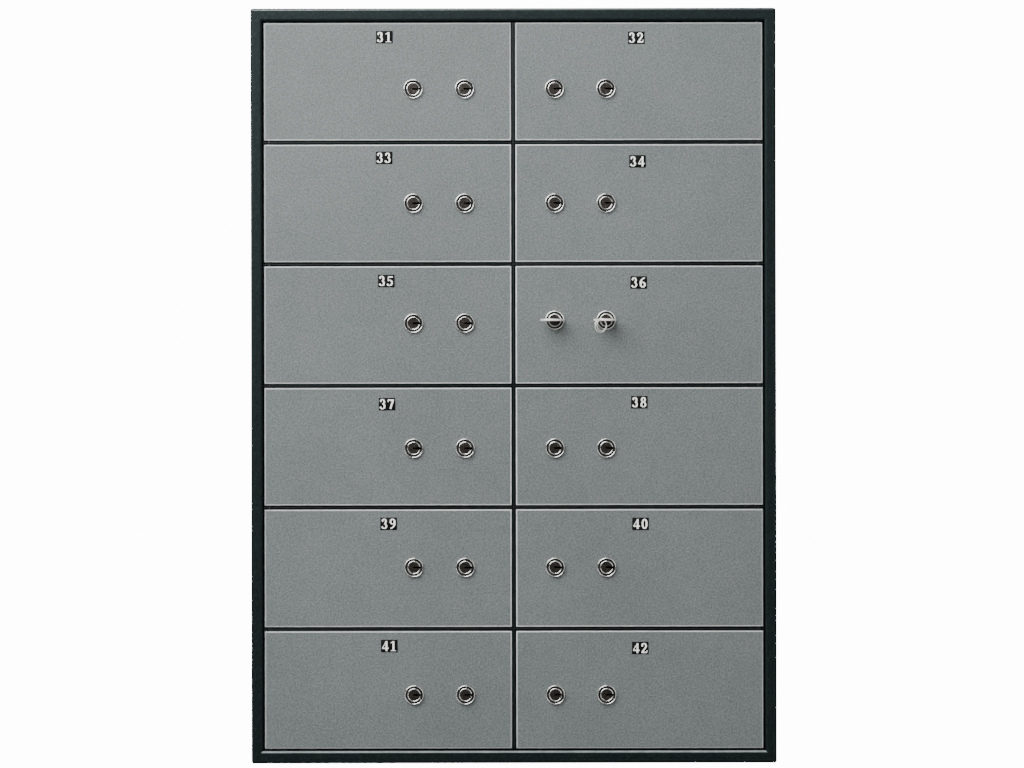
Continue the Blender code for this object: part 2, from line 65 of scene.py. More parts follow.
# Folded casing: widths of its face at the sides and the ends, gauge, bends and flanges.
SIDE_FACE = 14.5 * MM
END_FACE = 16 * MM
GAUGE = 2 * MM
OUTER_BEND = 2.5 * MM
INNER_BEND = 3.2 * MM
LIP_DEPTH = 22 * MM
CORNER = 3 * MM
DOORWAY_CORNER = 0.6 * MM
REAR_FLANGE = 15 * MM
REAR_GAUGE = 1 * MM
PANEL_INSET = 3.5 * MM
PANEL_SET = 0.3 * MM
PANEL_EDGE = 0.3 * MM
ANCHOR_INSET = 70 * MM
ANCHOR_RADIUS = 4.5 * MM
WELD_INSET = 9 * MM
WELD_PITCH = 72 * MM
WELD_SEED = 4
ROD_SEAT = 2.8 * MM
ROD_SHANK = 2.5 * MM
ROD_HEAD = 4.2 * MM
ROD_HEAD_TALL = 2 * MM

# Doors, and the lock cases behind them.
DOOR_BEND = 1.8 * MM
DOOR_DEPTH = 12 * MM
DOOR_CORNER = 0.5 * MM
FACE_MARGIN = 2.5 * MM
FLANGE_HOLE = 2.8 * MM
NOSE_PROUD = 3.5 * MM
NOSE_HOLE = 10.3 * MM
CASE_DEPTH = 32 * MM
CASE_HEIGHT = 62 * MM
CASE_END_GAP = 14 * MM
CASE_MARGIN = 16 * MM
CASE_BEND = 2.5 * MM
SCREW_INSET = 6 * MM
GUIDE_LENGTH = 30 * MM
SLOT_PLAY = 0.3 * MM

# How far the edges of plain pieces are rounded.
SHEET_ROUND = 0.3 * MM
BOLT_ROUND = 0.4 * MM
PLATE_ROUND = 0.2 * MM
KEY_ROUND = 0.28 * MM

# Number plates and their raised figures.
PLATE_SIZE = (20.2 * MM, 15 * MM)
PLATE_THICK = 0.6 * MM
PLATE_DROP = 18.9 * MM
# How far each plate is set left and low of the middle place, as fitted one by one, in millimetres.
PLATE_SET = {
    31: (3.6, -1.2), 32: (3.0, 0), 33: (4.2, -2.4), 34: (1.8, 2.4),
    35: (1.8, -0.6), 36: (0.6, 1.8), 37: (1.2, 1.2), 38: (0, -0.6),
    39: (-0.6, -1.2), 40: (-1.2, -0.6), 41: (-1.2, -0.6), 42: (-0.6, 2.4),
}
FIGURE_HEIGHT = 12.2 * MM
FIGURE_PITCH = 9.7 * MM
FIGURE_RAISE = 0.25 * MM
PEN_THICK = 0.088
PEN_THIN = 0.036
STROKE_STEP = 0.001

# Lock noses, screws and weld marks: (radius, depth) points in millimetres from the sheet that
# they sit on. An arc has its centre, then its radii.
NOSE_CROWN = ((11.05, -2.8), (0.7, 0.7))
NOSE_FOOT = (11.75, -0.03)
NOSE_INSIDE = ((10.1, -1.0), (8.95, -0.6), (8.92, 1.7), (10.1, 1.7), (10.15, -0.03))
SCREW_DOME = ((0, 0.5), (3, 1.5))
SCREW_WASHER = ((0, 0.1), (3.6, 0.1), (3.6, -0.4))
SCREW_TOP = (0, -2)
SCREW_RECESS = (1.7 * MM, 0.35 * MM, -0.9 * MM)
WELD_RING = ((0, 0.1), (3.4, 0.1), (3.4, -0.02), (2.9, -0.22), (2.4, -0.18), (2, -0.02), (0, -0.02))

# Key plugs: the front's (radius, depth) points and the keyway's outline in millimetres, the arm
# at the rear and the renter's crank pin.
PLUG_FACE = ((0, 1), (3.1, 1), (3.3, 1.25), (3.8, 1.25), (4, 1), (6.3, 1), (6.7, 1.4))
PLUG_RIM = ((7.45, 0.7), (0.7, 0.7))
PLUG_CHAMFER = ((8.2, 1.8), (8.6, 2))
PLUG_RADIUS = 8.6 * MM
PLUG_END_CHAMFER = 0.5 * MM
PLUG_LENGTH = 18.2 * MM
KEYWAY = ((-1.2, -1.1), (6, -1.1), (10, -1.6), (10, 1.6), (6, 1.1), (-1.2, 1.1))
KEYWAY_DEPTH = 16.2 * MM
ARM_THICK = 2 * MM
ARM_WIDTH = 7 * MM
CRANK_RADIUS = 9.9 * MM
PIN_RADIUS = 2 * MM
PIN_END = 29.2 * MM
PIN_CHAMFER = 0.4 * MM
CAM_LENGTH = 12.5 * MM

# Keys, about the plug's axis and its front face.
KEY_THICK = 2.2 * MM
BLADE_THICK = 1.6 * MM
BLADE_SPAN = (-0.9 * MM, 5.9 * MM)
BLADE_END = 15.7 * MM
NECK_SPAN = (-1.75 * MM, 6.75 * MM)
NECK_GAP = 0.8 * MM
BOW_RADII = (14 * MM, 12 * MM)
BOW_MIDDLE = -16.5 * MM
BOW_SHIFT = {"renter_key": -4 * MM, "guard_key": -2 * MM}
BOW_HOLE = 3.8 * MM
BOW_BRIDGE = 2.4 * MM
BOW_PANEL = (8.5 * MM, 4.2 * MM)
BOW_PANEL_SET = 4.5 * MM
BOW_PANEL_DEEP = 0.35 * MM
KEY_CUTS = ((4.2 * MM, 1.6 * MM), (7.7 * MM, 2.6 * MM), (11.2 * MM, 1.2 * MM))
KEY_GROOVE = (2.2 * MM, 3.4 * MM)
KEY_GROOVE_DEEP = 0.45 * MM
RING_RADIUS = 9.35 * MM
RING_WIRE = 0.5 * MM
RING_SPRING = 3.2 * MM
RING_COILS = 1.94
RING_DROP = 6.4 * MM
RING_TURN = math.radians(35)

# Steps round turned shapes and arcs, and how far a cutter reaches past what it cuts.
ROUND = 48
SMALL_ROUND = 24
ARC_STEPS = 6
THROUGH = 10 * MM
UPRIGHT = Matrix.Rotation(math.pi / 2, 4, "X")
FACING_BACK = math.pi
SHARP_ANGLE = math.radians(40)
BEVEL_ANGLE = math.radians(35)

# Light painted round each bend, one value a step: above 0 a painted highlight lightens the coat,
# below 0 painted shade darkens it. The rear edge's value is wear.
PAN_BEND_PAINTED_LIGHT = (-0.9, -0.9, -0.6, 0.4, 1.0, 1.0, 0.5)
RIM_PAINTED_LIGHT = (-0.9, -0.9, -0.9, -0.9, 0.0, 0.9, 1.0)
SILL_PAINTED_LIGHT = (0.1, 1.0, 1.0, 0.8, -0.2, -0.9, -0.9)
REAR_WEAR = 0.12
PAINTED_GAP_SHADE = -0.9
# Shares of that painted light: the top edge's fades from the left, and door edges beside other
# doors take the most.
TOP_LIGHT, TOP_LIGHT_FADE, TOP_LIGHT_REACH = 0.9, 0.75, 1.6
SILL_LIGHT_SHARE = 0.8
HINGE_EDGE_LIGHT = 0.3
CASING_SIDE_LIGHT = 0.35

# Studio; a softbox has its place, the point it faces, its width and height, and its watts.
WHITE = 14
ROOM_LIGHT = 0.42
SOFTBOXES = {
    "key_light": ((-1.05, -1.75, 1.95), (-0.25, FRONT, 1.0), (2.5, 2.0), 162),
    "fill_light": ((1.8, -3.0, 1.2), (0, FRONT, 0.45), (2.0, 2.0), 26),
    "back_light": ((0.8, 2.6, 2.2), (0, REAR, 0.5), (1.6, 1.6), 25),
}
CAMERA_LENS = 115.5
CAMERA_PLACE = (-2 * MM, FRONT - 4.0, 462 * MM)
CAMERA_ROLL = math.radians(0.1)


def side_of(number):
    return "left" if number % 2 else "right"


# Meshes.


def close_mesh(bm, name):
    """Turns a bmesh into a mesh that is smooth except at its sharp edges."""
    bmesh.ops.recalc_face_normals(bm, faces=bm.faces)
    mesh = bpy.data.meshes.new(name)
    bm.to_mesh(mesh)
    bm.free()
    mark_sharp(mesh)
    return mesh


def mark_sharp(mesh):
    mesh.shade_smooth()
    mesh.set_sharp_from_angle(angle=SHARP_ANGLE)


def evaluated_mesh(obj, name):
    bpy.context.view_layer.update()
    graph = bpy.context.evaluated_depsgraph_get()
    mesh = bpy.data.meshes.new_from_object(obj.evaluated_get(graph))
    mesh.name = name
    return mesh


def set_up(data, name="helper"):
    """An object in the scene, made of a mesh, a light or a camera."""
    obj = bpy.data.objects.new(name, data)
    bpy.context.scene.collection.objects.link(obj)
    return obj


def combine(mesh, operation, *others):
    """The mesh with others cut from it, or joined on. A cutter's faces keep their slot."""
    target = set_up(mesh)
    helpers = [set_up(other) for other in others]
    for helper in helpers:
        modifier = target.modifiers.new(operation, "BOOLEAN")
        modifier.operation = operation
        modifier.solver = "EXACT"
        modifier.object = helper
    made = evaluated_mesh(target, mesh.name)
    for obj in (target, *helpers):
        bpy.data.objects.remove(obj)
    mark_sharp(made)
    return made


def soften(mesh, width, segments=2):
    """The mesh with its sharp edges rounded."""
    target = set_up(mesh)
    modifier = target.modifiers.new("round", "BEVEL")
    modifier.width = width
    modifier.segments = segments
    modifier.limit_method = "ANGLE"
    modifier.angle_limit = BEVEL_ANGLE
    made = evaluated_mesh(target, mesh.name)
    bpy.data.objects.remove(target)
    mark_sharp(made)
    return made


def shifted(mesh, matrix):
    """A copy of a mesh, moved."""
    copy = mesh.copy()
    copy.transform(matrix)
    return copy


def together(name, *meshes):
    """One mesh of several that stay separate bodies."""
    bm = bmesh.new()
    for mesh in meshes:
        bm.from_mesh(mesh)
    return close_mesh(bm, name)


def arc(centre, radii, start, end, steps=ARC_STEPS):
    """Points of an ellipse's arc from one angle to another, in degrees."""
    turns = [math.radians(start + (end - start) * i / steps) for i in range(steps + 1)]
    return [(centre[0] + radii[0] * math.cos(t), centre[1] + radii[1] * math.sin(t)) for t in turns]


def in_mm(*points):
    """Points given in millimetres."""
    return [(u * MM, v * MM) for u, v in points]


def box_mesh(low, high):
    bm = bmesh.new()
    low, high = Vector(low), Vector(high)
    size = Matrix.Diagonal(high - low).to_4x4()
    bmesh.ops.create_cube(bm, size=1, matrix=Matrix.Translation((low + high) / 2) @ size)
    return close_mesh(bm, "box")


def prism_mesh(outline, axis, near, far, name="prism", slot=0):
    """A flat outline of (x, z) points drawn along Y, or of (x, y) points drawn along Z."""
    bm = bmesh.new()
    rings = []
    for level in (near, far):
        places = [(u, level, v) if axis == "Y" else (u, v, level) for u, v in outline]
        rings.append([bm.verts.new(place) for place in places])
    bm.faces.new(rings[0])
    bm.faces.new(rings[1])
    bridge(bm, rings)
    for face in bm.faces:
        face.material_index = slot
    return close_mesh(bm, name)


def bridge(bm, rings, closed=False, slots=None):
    """Joins each ring of vertices to the next with quads, or with a fan at a pole."""
    pairs = list(zip(rings, rings[1:] + rings[:1]))
    for index, (first, second) in enumerate(pairs if closed else pairs[:-1]):
        count = max(len(first), len(second))
        for i in range(count):
            j = (i + 1) % count
            corners = [first[i % len(first)], first[j % len(first)]]
            corners += [second[j % len(second)], second[i % len(second)]]
            face = bm.faces.new(list(dict.fromkeys(corners)))
            if slots:
                face.material_index = slots[index]


def turned_mesh(profile, name, slots=None, steps=ROUND, closed=True):
    """A shape turned about the Y axis from (radius, y) points; radius 0 makes a pole."""
    bm = bmesh.new()
    rings = []
    for radius, y in profile:
        count = steps if radius > 0 else 1
        turns = [math.tau * i / steps for i in range(count)]
        rings.append([bm.verts.new((radius * math.cos(t), y, radius * math.sin(t))) for t in turns])
    bridge(bm, rings, closed, slots)
    return close_mesh(bm, name)


def round_cutter(radius, reach, matrix, steps=SMALL_ROUND):
    """A cutter for a round hole, reaching both ways along Y until the matrix places it."""
    outline = [(0, -reach), (radius, -reach), (radius, reach), (0, reach)]
    cutter = turned_mesh(outline, "round_cutter", steps=steps, closed=False)
    cutter.transform(matrix)
    return cutter


def upright_ring(bm, low, high, radius, y):
    """Vertices of an upright rectangle with rounded corners, given by its (x, z) corners."""
    corners = (
        (low[0] + radius, low[1] + radius, 180),
        (high[0] - radius, low[1] + radius, 270),
        (high[0] - radius, high[1] - radius, 360),
        (low[0] + radius, high[1] - radius, 450),
    )
    ring = []
    for x, z, start in corners:
        for u, v in arc((x, z), (radius, radius), start, start + 90):
            ring.append(bm.verts.new((u, y, v)))
    return ring


def inset_ring(bm, low, high, inset, radius, y):
    """An upright ring, set in evenly from a rectangle's (x, z) corners."""
    start, end = (low[0] + inset, low[1] + inset), (high[0] - inset, high[1] - inset)
    return upright_ring(bm, start, end, radius, y)


def set_wear(bm, rings, shares, light_and_wear_share):
    """Marks the painted highlight and painted shade, and the wear, at each ring and at each point
    of it.
    """
    layer = bm.verts.layers.float["wear"]
    for ring, share in zip(rings, shares):
        for vert in ring:
            vert[layer] = share * light_and_wear_share(vert)


def pan_mesh(name, low, high, face_y, open_y, bend, corner, light_and_wear_share=lambda vert: 1.0):
    """A folded sheet-metal pan: a flat face with four flanges that stop at open_y."""
    way = 1 if open_y > face_y else -1
    flange = abs(open_y - face_y)
    curve = arc((bend, bend), (bend, bend), 180, 270)
    # Painted shade on the flange behind the bend, then round the bend painted shade turning into a
    # painted highlight towards the face.
    rows = [(0, flange, 0.0), (0, bend + GAUGE, PAINTED_GAP_SHADE)]
    rows += [(u, v, share) for (u, v), share in zip(curve, PAN_BEND_PAINTED_LIGHT)]
    rows += [(bend + 0.3 * MM, 0, 0.0), (bend + FACE_MARGIN, 0, 0.0)]
    front = len(rows) - 1
    rows += [(bend + FACE_MARGIN, GAUGE, 0.0)]
    inner = max(bend - GAUGE, 0.4 * MM)
    curve = arc((GAUGE + inner, GAUGE + inner), (inner, inner), 270, 180, 3)
    rows += [(u, v, 0.0) for u, v in curve]
    rows += [(GAUGE, flange, 0.0)]
    bm = bmesh.new()
    bm.verts.layers.float.new("wear")
    rings = []
    for inset, level, _ in rows:
        rings.append(inset_ring(bm, low, high, inset, corner, face_y + way * level))
    bridge(bm, rings, closed=True)
    between = set(rings[front]) | set(rings[front + 1])
    walls = [face for face in bm.faces if set(face.verts) <= between]
    bmesh.ops.delete(bm, geom=walls, context="FACES_ONLY")
    bm.faces.new(rings[front])
    bm.faces.new(rings[front + 1])
    set_wear(bm, rings, [row[2] for row in rows], light_and_wear_share)
    return close_mesh(bm, name)


# Finishes. Every pattern is laid on Object coordinates, so it keeps its real size.


def add(tree, kind, inputs=None, **settings):
    """Adds a node; an input is a value or the socket that feeds it."""
    made = tree.nodes.new(kind)
    for name, value in settings.items():
        setattr(made, name, value)
    for name, value in (inputs or {}).items():
        if isinstance(value, bpy.types.NodeSocket):
            tree.links.new(value, made.inputs[name])
        else:
            made.inputs[name].default_value = value
    return made


def start_finish(name, roughness, metallic=0.0, shine=0.5):
    material = bpy.data.materials.new(name)
    material.use_nodes = True
    tree = material.node_tree
    shader = tree.nodes["Principled BSDF"]
    shader.inputs["Roughness"].default_value = roughness
    shader.inputs["Metallic"].default_value = metallic
    shader.inputs["Specular IOR Level"].default_value = shine
    return material, tree, shader


def grain(tree, size, detail=2.0, stretch=(1, 1, 1), rough=0.5):
    """A noise whose lumps are about size across."""
    coordinates = add(tree, "ShaderNodeTexCoord").outputs["Object"]
    placed = add(tree, "ShaderNodeMapping", {"Vector": coordinates, "Scale": stretch}).outputs[0]
    inputs = {"Vector": placed, "Scale": 1 / size, "Detail": detail, "Roughness": rough}
    return add(tree, "ShaderNodeTexNoise", inputs).outputs[0]


def ramp(tree, factor, *stops):
    """Colours, or levels of grey, from their places along a factor."""
    made = add(tree, "ShaderNodeValToRGB", {"Fac": factor})
    band = made.color_ramp
    while len(band.elements) < len(stops):
        band.elements.new(0.5)
    for element, (position, tone) in zip(band.elements, stops):
        element.position = position
        element.color = (*(tone if isinstance(tone, tuple) else (tone, tone, tone)), 1)
    return made.outputs[0]


def blend_colours(tree, mode, factor, first, second):
    made = add(tree, "ShaderNodeMix", data_type="RGBA", blend_type=mode)
    for index, value in ((0, factor), (6, first), (7, second)):
        if isinstance(value, bpy.types.NodeSocket):
            tree.links.new(value, made.inputs[index])
        else:
            made.inputs[index].default_value = value if index == 0 else (*value, 1)
    return made.outputs[2]


def sums(tree, operation, first, second):
    return add(tree, "ShaderNodeMath", {0: first, 1: second}, operation=operation).outputs[0]


def bump(tree, shader, height, distance, strength=1.0, under=None):
    inputs = {"Height": height, "Distance": distance, "Strength": strength}
    if under is not None:
        inputs["Normal"] = under
    made = add(tree, "ShaderNodeBump", inputs)
    tree.links.new(made.outputs[0], shader.inputs["Normal"])
    return made.outputs[0]


def feed(tree, shader, socket, value):
    tree.links.new(value, shader.inputs[socket])


def worn(tree, colour, highlight_and_bare, amount):
    """A coat lighter where the mesh's attribute is above 0, as a painted highlight and at the
    casing's rear edge as wear, and near black below 0, as painted shade.
    """
    wear = add(tree, "ShaderNodeAttribute", attribute_name="wear").outputs["Fac"]
    patches = ramp(tree, grain(tree, 9 * MM, 3.0), (0.25, 0.6), (0.75, 1.0))
    share = sums(tree, "MULTIPLY", sums(tree, "MULTIPLY", wear, patches), amount)
    highlit_and_worn = blend_colours(tree, "MIX", share, colour, highlight_and_bare)
    # Painted shade: below 0 the colour is mixed towards near black.
    painted_shade = sums(tree, "MULTIPLY", wear, -1.0)
    return blend_colours(tree, "MIX", painted_shade, highlit_and_worn, (0.0012, 0.0014, 0.0014))


def frame_coat():
    """Green-black powder coat with a fine dry texture and paler flecks."""
    material, tree, shader = start_finish("frame_coat", 0.5, shine=0.18)
    shader.inputs["Specular Tint"].default_value = (0.8, 1.0, 1.0, 1)
    flecks = ramp(
        tree,
        grain(tree, 1.7 * MM, 3.0, rough=0.65),
        (0.34, (0.0001, 0.0007, 0.0008)),
        (0.52, (0.0005, 0.0024, 0.0025)),
        (0.68, (0.0075, 0.0120, 0.0124)),
    )
    drift = ramp(tree, grain(tree, 70 * MM), (0.3, 0.82), (0.7, 1.0))
    colour = blend_colours(tree, "MULTIPLY", 1.0, flecks, drift)
    # Painted highlight: bends are mixed towards this paler colour, which at the rear edge stands
    # for wear.
    feed(tree, shader, "Base Color", worn(tree, colour, (0.30, 0.335, 0.335), 0.95))
    patchy = ramp(tree, grain(tree, 2.5 * MM), (0.3, 0.40), (0.7, 0.58))
    feed(tree, shader, "Roughness", patchy)
    pits = bump(tree, shader, grain(tree, 1.3 * MM), 0.16 * MM, 0.9)
    bump(tree, shader, grain(tree, 5 * MM, 1.0), 0.20 * MM, 0.5, pits)
    return material


def door_coat():
    """Grey coat with a fine salt-and-pepper grain over faint cloudy patches."""
    material, tree, shader = start_finish("door_coat", 0.5, shine=0.3)
    fine = ramp(
        tree,
        grain(tree, 1.9 * MM, 3.0, rough=0.7),
        (0.32, (0.066, 0.078, 0.076)),
        (0.50, (0.109, 0.123, 0.121)),
        (0.68, (0.163, 0.178, 0.175)),
    )
    cool = ramp(
        tree,
        grain(tree, 26 * MM, 3.0),
        (0.32, (0.93, 0.95, 0.945)),
        (0.68, (1.0, 0.99, 0.995)),
    )
    cloudy = ramp(tree, grain(tree, 130 * MM), (0.3, 0.91), (0.7, 1.0))
    colour = blend_colours(tree, "MULTIPLY", 1.0, fine, cool)
    colour = blend_colours(tree, "MULTIPLY", 1.0, colour, cloudy)
    # Painted highlight: the edge bends are mixed towards this paler colour.
    feed(tree, shader, "Base Color", worn(tree, colour, (0.68, 0.71, 0.705), 0.9))
    feed(tree, shader, "Roughness", ramp(tree, grain(tree, 4 * MM), (0.3, 0.42), (0.7, 0.56)))
    pits = bump(tree, shader, grain(tree, 1.6 * MM), 0.07 * MM, 0.7)
    bump(tree, shader, grain(tree, 9 * MM, 1.0), 0.10 * MM, 0.35, pits)
    return material


def liner_coat():
    """Dark satin coat of the sheets inside the casing, a little scuffed."""
    material, tree, shader = start_finish("liner_coat", 0.5, shine=0.15)
    scuffs = grain(tree, 14 * MM, 5.0, (1, 0.25, 1), 0.7)
    colour = ramp(
        tree,
        scuffs,
        (0.35, (0.0045, 0.0075, 0.0078)),
        (0.60, (0.0090, 0.0130, 0.0134)),
        (0.80, (0.0210, 0.0260, 0.0265)),
    )
    feed(tree, shader, "Base Color", colour)
    feed(tree, shader, "Roughness", ramp(tree, scuffs, (0.3, 0.42), (0.7, 0.6)))
    bump(tree, shader, grain(tree, 1.8 * MM), 0.05 * MM, 0.6)
    return material


def plated(name, dark, light, smooth, dull, scratch, stretch=(1, 1, 1), metallic=1.0):
    """A metal with a cloudy tone, fine scratches and a polish from smooth to dull."""
    material, tree, shader = start_finish(name, smooth, metallic)
    clouds = grain(tree, 3.5 * MM, 4.0, rough=0.6)
    feed(tree, shader, "Base Color", ramp(tree, clouds, (0.3, dark), (0.65, light)))
    scratches = grain(tree, scratch, 4.0, stretch, 0.7)
    feed(tree, shader, "Roughness", ramp(tree, scratches, (0.3, smooth), (0.75, dull)))
    bump(tree, shader, scratches, 0.015 * MM, 0.5)
    return material


def plug_core():
    """Dull brown-black plug face with a little brass showing."""
    material, tree, shader = start_finish("plug_core", 0.42, 0.85)
    tarnish = grain(tree, 2.6 * MM, 4.0, rough=0.65)
    colour = ramp(
        tree,
        tarnish,
        (0.30, (0.010, 0.009, 0.008)),
        (0.55, (0.028, 0.024, 0.021)),
        (0.78, (0.085, 0.074, 0.060)),
    )
    feed(tree, shader, "Base Color", colour)
    feed(tree, shader, "Roughness", ramp(tree, tarnish, (0.3, 0.55), (0.7, 0.34)))
    bump(tree, shader, grain(tree, 0.5 * MM), 0.03 * MM, 0.6)
    return material


def blackened():
    """Painted shade: near-black metal at the bottom of grooves and keyways, where shade falls."""
    material, tree, shader = start_finish("blackened", 0.7, 0.2)
    shade_grain = grain(tree, 1.2 * MM, 3.0)
    colour = ramp(tree, shade_grain, (0.3, (0.0015, 0.0015, 0.0014)), (0.7, (0.0060, 0.0058, 0.0052)))
    feed(tree, shader, "Base Color", colour)
    bump(tree, shader, grain(tree, 0.6 * MM), 0.04 * MM, 0.5)
    return material


def enamel(name, dark, light, roughness):
    """Baked enamel, slightly uneven in tone and surface."""
    material, tree, shader = start_finish(name, roughness, shine=0.1)
    tone = ramp(tree, grain(tree, 2.2 * MM, 3.0), (0.3, dark), (0.7, light))
    feed(tree, shader, "Base Color", tone)
    bump(tree, shader, grain(tree, 0.9 * MM), 0.02 * MM, 0.5)
    return material


FRAME_COAT = frame_coat()
DOOR_COAT = door_coat()
LINER_COAT = liner_coat()
CHROME = plated("lock_chrome", (0.60, 0.60, 0.58), (0.86, 0.86, 0.84), 0.10, 0.24, 1.1 * MM)
ZINC = plated(
    "zinc_plate", (0.46, 0.47, 0.47), (0.66, 0.66, 0.65), 0.26, 0.48, 4 * MM, (1, 1, 0.2)
)
NICKEL = plated(
    "key_nickel", (0.86, 0.84, 0.79), (0.98, 0.97, 0.93), 0.34, 0.50, 1.6 * MM, (0.3, 1, 1), 0.55
)
# Painted shade: the zinc-plated hinge rods are near-black so they look shaded in the gap behind the
# doors.
ROD_PAINTED_SHADE = plated(
    "oiled_rod", (0.035, 0.034, 0.032), (0.085, 0.083, 0.078), 0.30, 0.50, 4 * MM, (1, 1, 0.2)
)
PLUG_CORE = plug_core()
PAINTED_GROOVE_SHADE = blackened()
PLATE_ENAMEL = enamel(
    "plate_enamel", (0.0006, 0.0009, 0.0009), (0.0020, 0.0025, 0.0025), 0.5
)
FIGURE_WHITE = enamel("figure_white", (0.80, 0.80, 0.77), (0.93, 0.93, 0.91), 0.4)


def dress(mesh, *finishes):
    """Gives a mesh without finishes its own, in the order of its faces' material slots."""
    if not mesh.materials:
        for finish in finishes:
            mesh.materials.append(finish)


def add_piece(name, mesh, body, slot, *finishes, stands_for=()):
    """Makes a mesh a piece that rides on a body."""
    mesh.name = name
    obj = set_up(mesh, name)
    dress(mesh, *finishes)
    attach(obj, body)
    if stands_for:
        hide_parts(*stands_for)


# Repeated fasteners.


def start_tree(name, result, **inputs):
    """An empty Geometry Nodes tree with named inputs of the given kinds, and their sockets."""
    tree = bpy.data.node_groups.new(name, "GeometryNodeTree")
    for label, kind in inputs.items():
        tree.interface.new_socket(label, in_out="INPUT", socket_type=f"NodeSocket{kind}")
    tree.interface.new_socket(result, in_out="OUTPUT", socket_type="NodeSocketGeometry")
    return tree, tree.nodes.new("NodeGroupInput").outputs


def end_tree(tree, result, geometry, finish):
    """Makes a tree's instances real and gives them their finish."""
    real = add(tree, "GeometryNodeRealizeInstances", {"Geometry": geometry}).outputs[0]
    coated = add(tree, "GeometryNodeSetMaterial", {"Geometry": real, "Material": finish})
    tree.links.new(coated.outputs[0], tree.nodes.new("NodeGroupOutput").inputs[result])
    return tree


def fastener_tree():
    """Puts a head on every point of a mesh, each turned at random about its own axis."""
    tree, inputs = start_tree(
        "fasteners", "Fasteners", Points="Geometry", Head="Object",
        Facing="Float", Play="Float", Seed="Int", Finish="Material",
    )
    head = add(tree, "GeometryNodeObjectInfo", {"Object": inputs["Head"], "As Instance": True})
    spin = add(tree, "FunctionNodeRandomValue", {"Seed": inputs["Seed"]})
    tree.links.new(inputs["Play"], spin.inputs[3])
    turn = add(tree, "ShaderNodeCombineXYZ", {"Y": spin.outputs[1], "Z": inputs["Facing"]})
    rotation = add(tree, "FunctionNodeEulerToRotation", {0: turn.outputs[0]}).outputs[0]
    placed = add(tree, "GeometryNodeInstanceOnPoints", {
        "Points": inputs["Points"], "Instance": head.outputs["Geometry"], "Rotation": rotation,
    })
    return end_tree(tree, "Fasteners", placed.outputs[0], inputs["Finish"])


def run_tree(tree, mesh, name, **values):
    """The plain mesh that a node tree makes from a mesh, with its inputs set by name."""
    carrier = set_up(mesh)
    modifier = carrier.modifiers.new(name, "NODES")
    modifier.node_group = tree
    for item in tree.interface.items_tree:
        if item.in_out == "INPUT" and item.name in values:
            modifier[item.identifier] = values[item.name]
    made = evaluated_mesh(carrier, name)
    bpy.data.objects.remove(carrier)
    mark_sharp(made)
    return made


def points_mesh(places):
    mesh = bpy.data.meshes.new("points")
    mesh.from_pydata(places, [], [])
    return mesh


def screw_head():
    """A pan head with a washer face and a cross recess, facing -Y."""
    dome = [(radius, -height) for radius, height in in_mm(*arc(*SCREW_DOME, 0, 80, 5))]
    profile = [*in_mm(*SCREW_WASHER), *dome, *in_mm(SCREW_TOP)]
    head = turned_mesh(profile, "screw_head", steps=20, closed=False)
    arm, half, bottom = SCREW_RECESS
    slots = [
        box_mesh((-arm, -THROUGH, -half), (arm, bottom, half)),
        box_mesh((-half, -THROUGH, -arm), (half, bottom, arm)),
    ]
    return combine(head, "DIFFERENCE", *slots)


def weld_spot():
    """The shallow pressed ring that a spot weld leaves, facing -Y."""
    return turned_mesh(in_mm(*WELD_RING), "weld_spot", steps=20, closed=False)


def make_fasteners(name, places, head, seed, body, slot, finish):
    """One piece of the same fastener at every place, facing the back."""
    mesh = run_tree(
        FASTENERS, points_mesh(places), name,
        Head=head, Facing=FACING_BACK, Play=math.tau, Seed=seed, Finish=finish,
    )
    add_piece(name, mesh, body, slot, finish)


FASTENERS = fastener_tree()
SCREW_HEAD = set_up(screw_head())
WELD_SPOT = set_up(weld_spot())


# Casing.


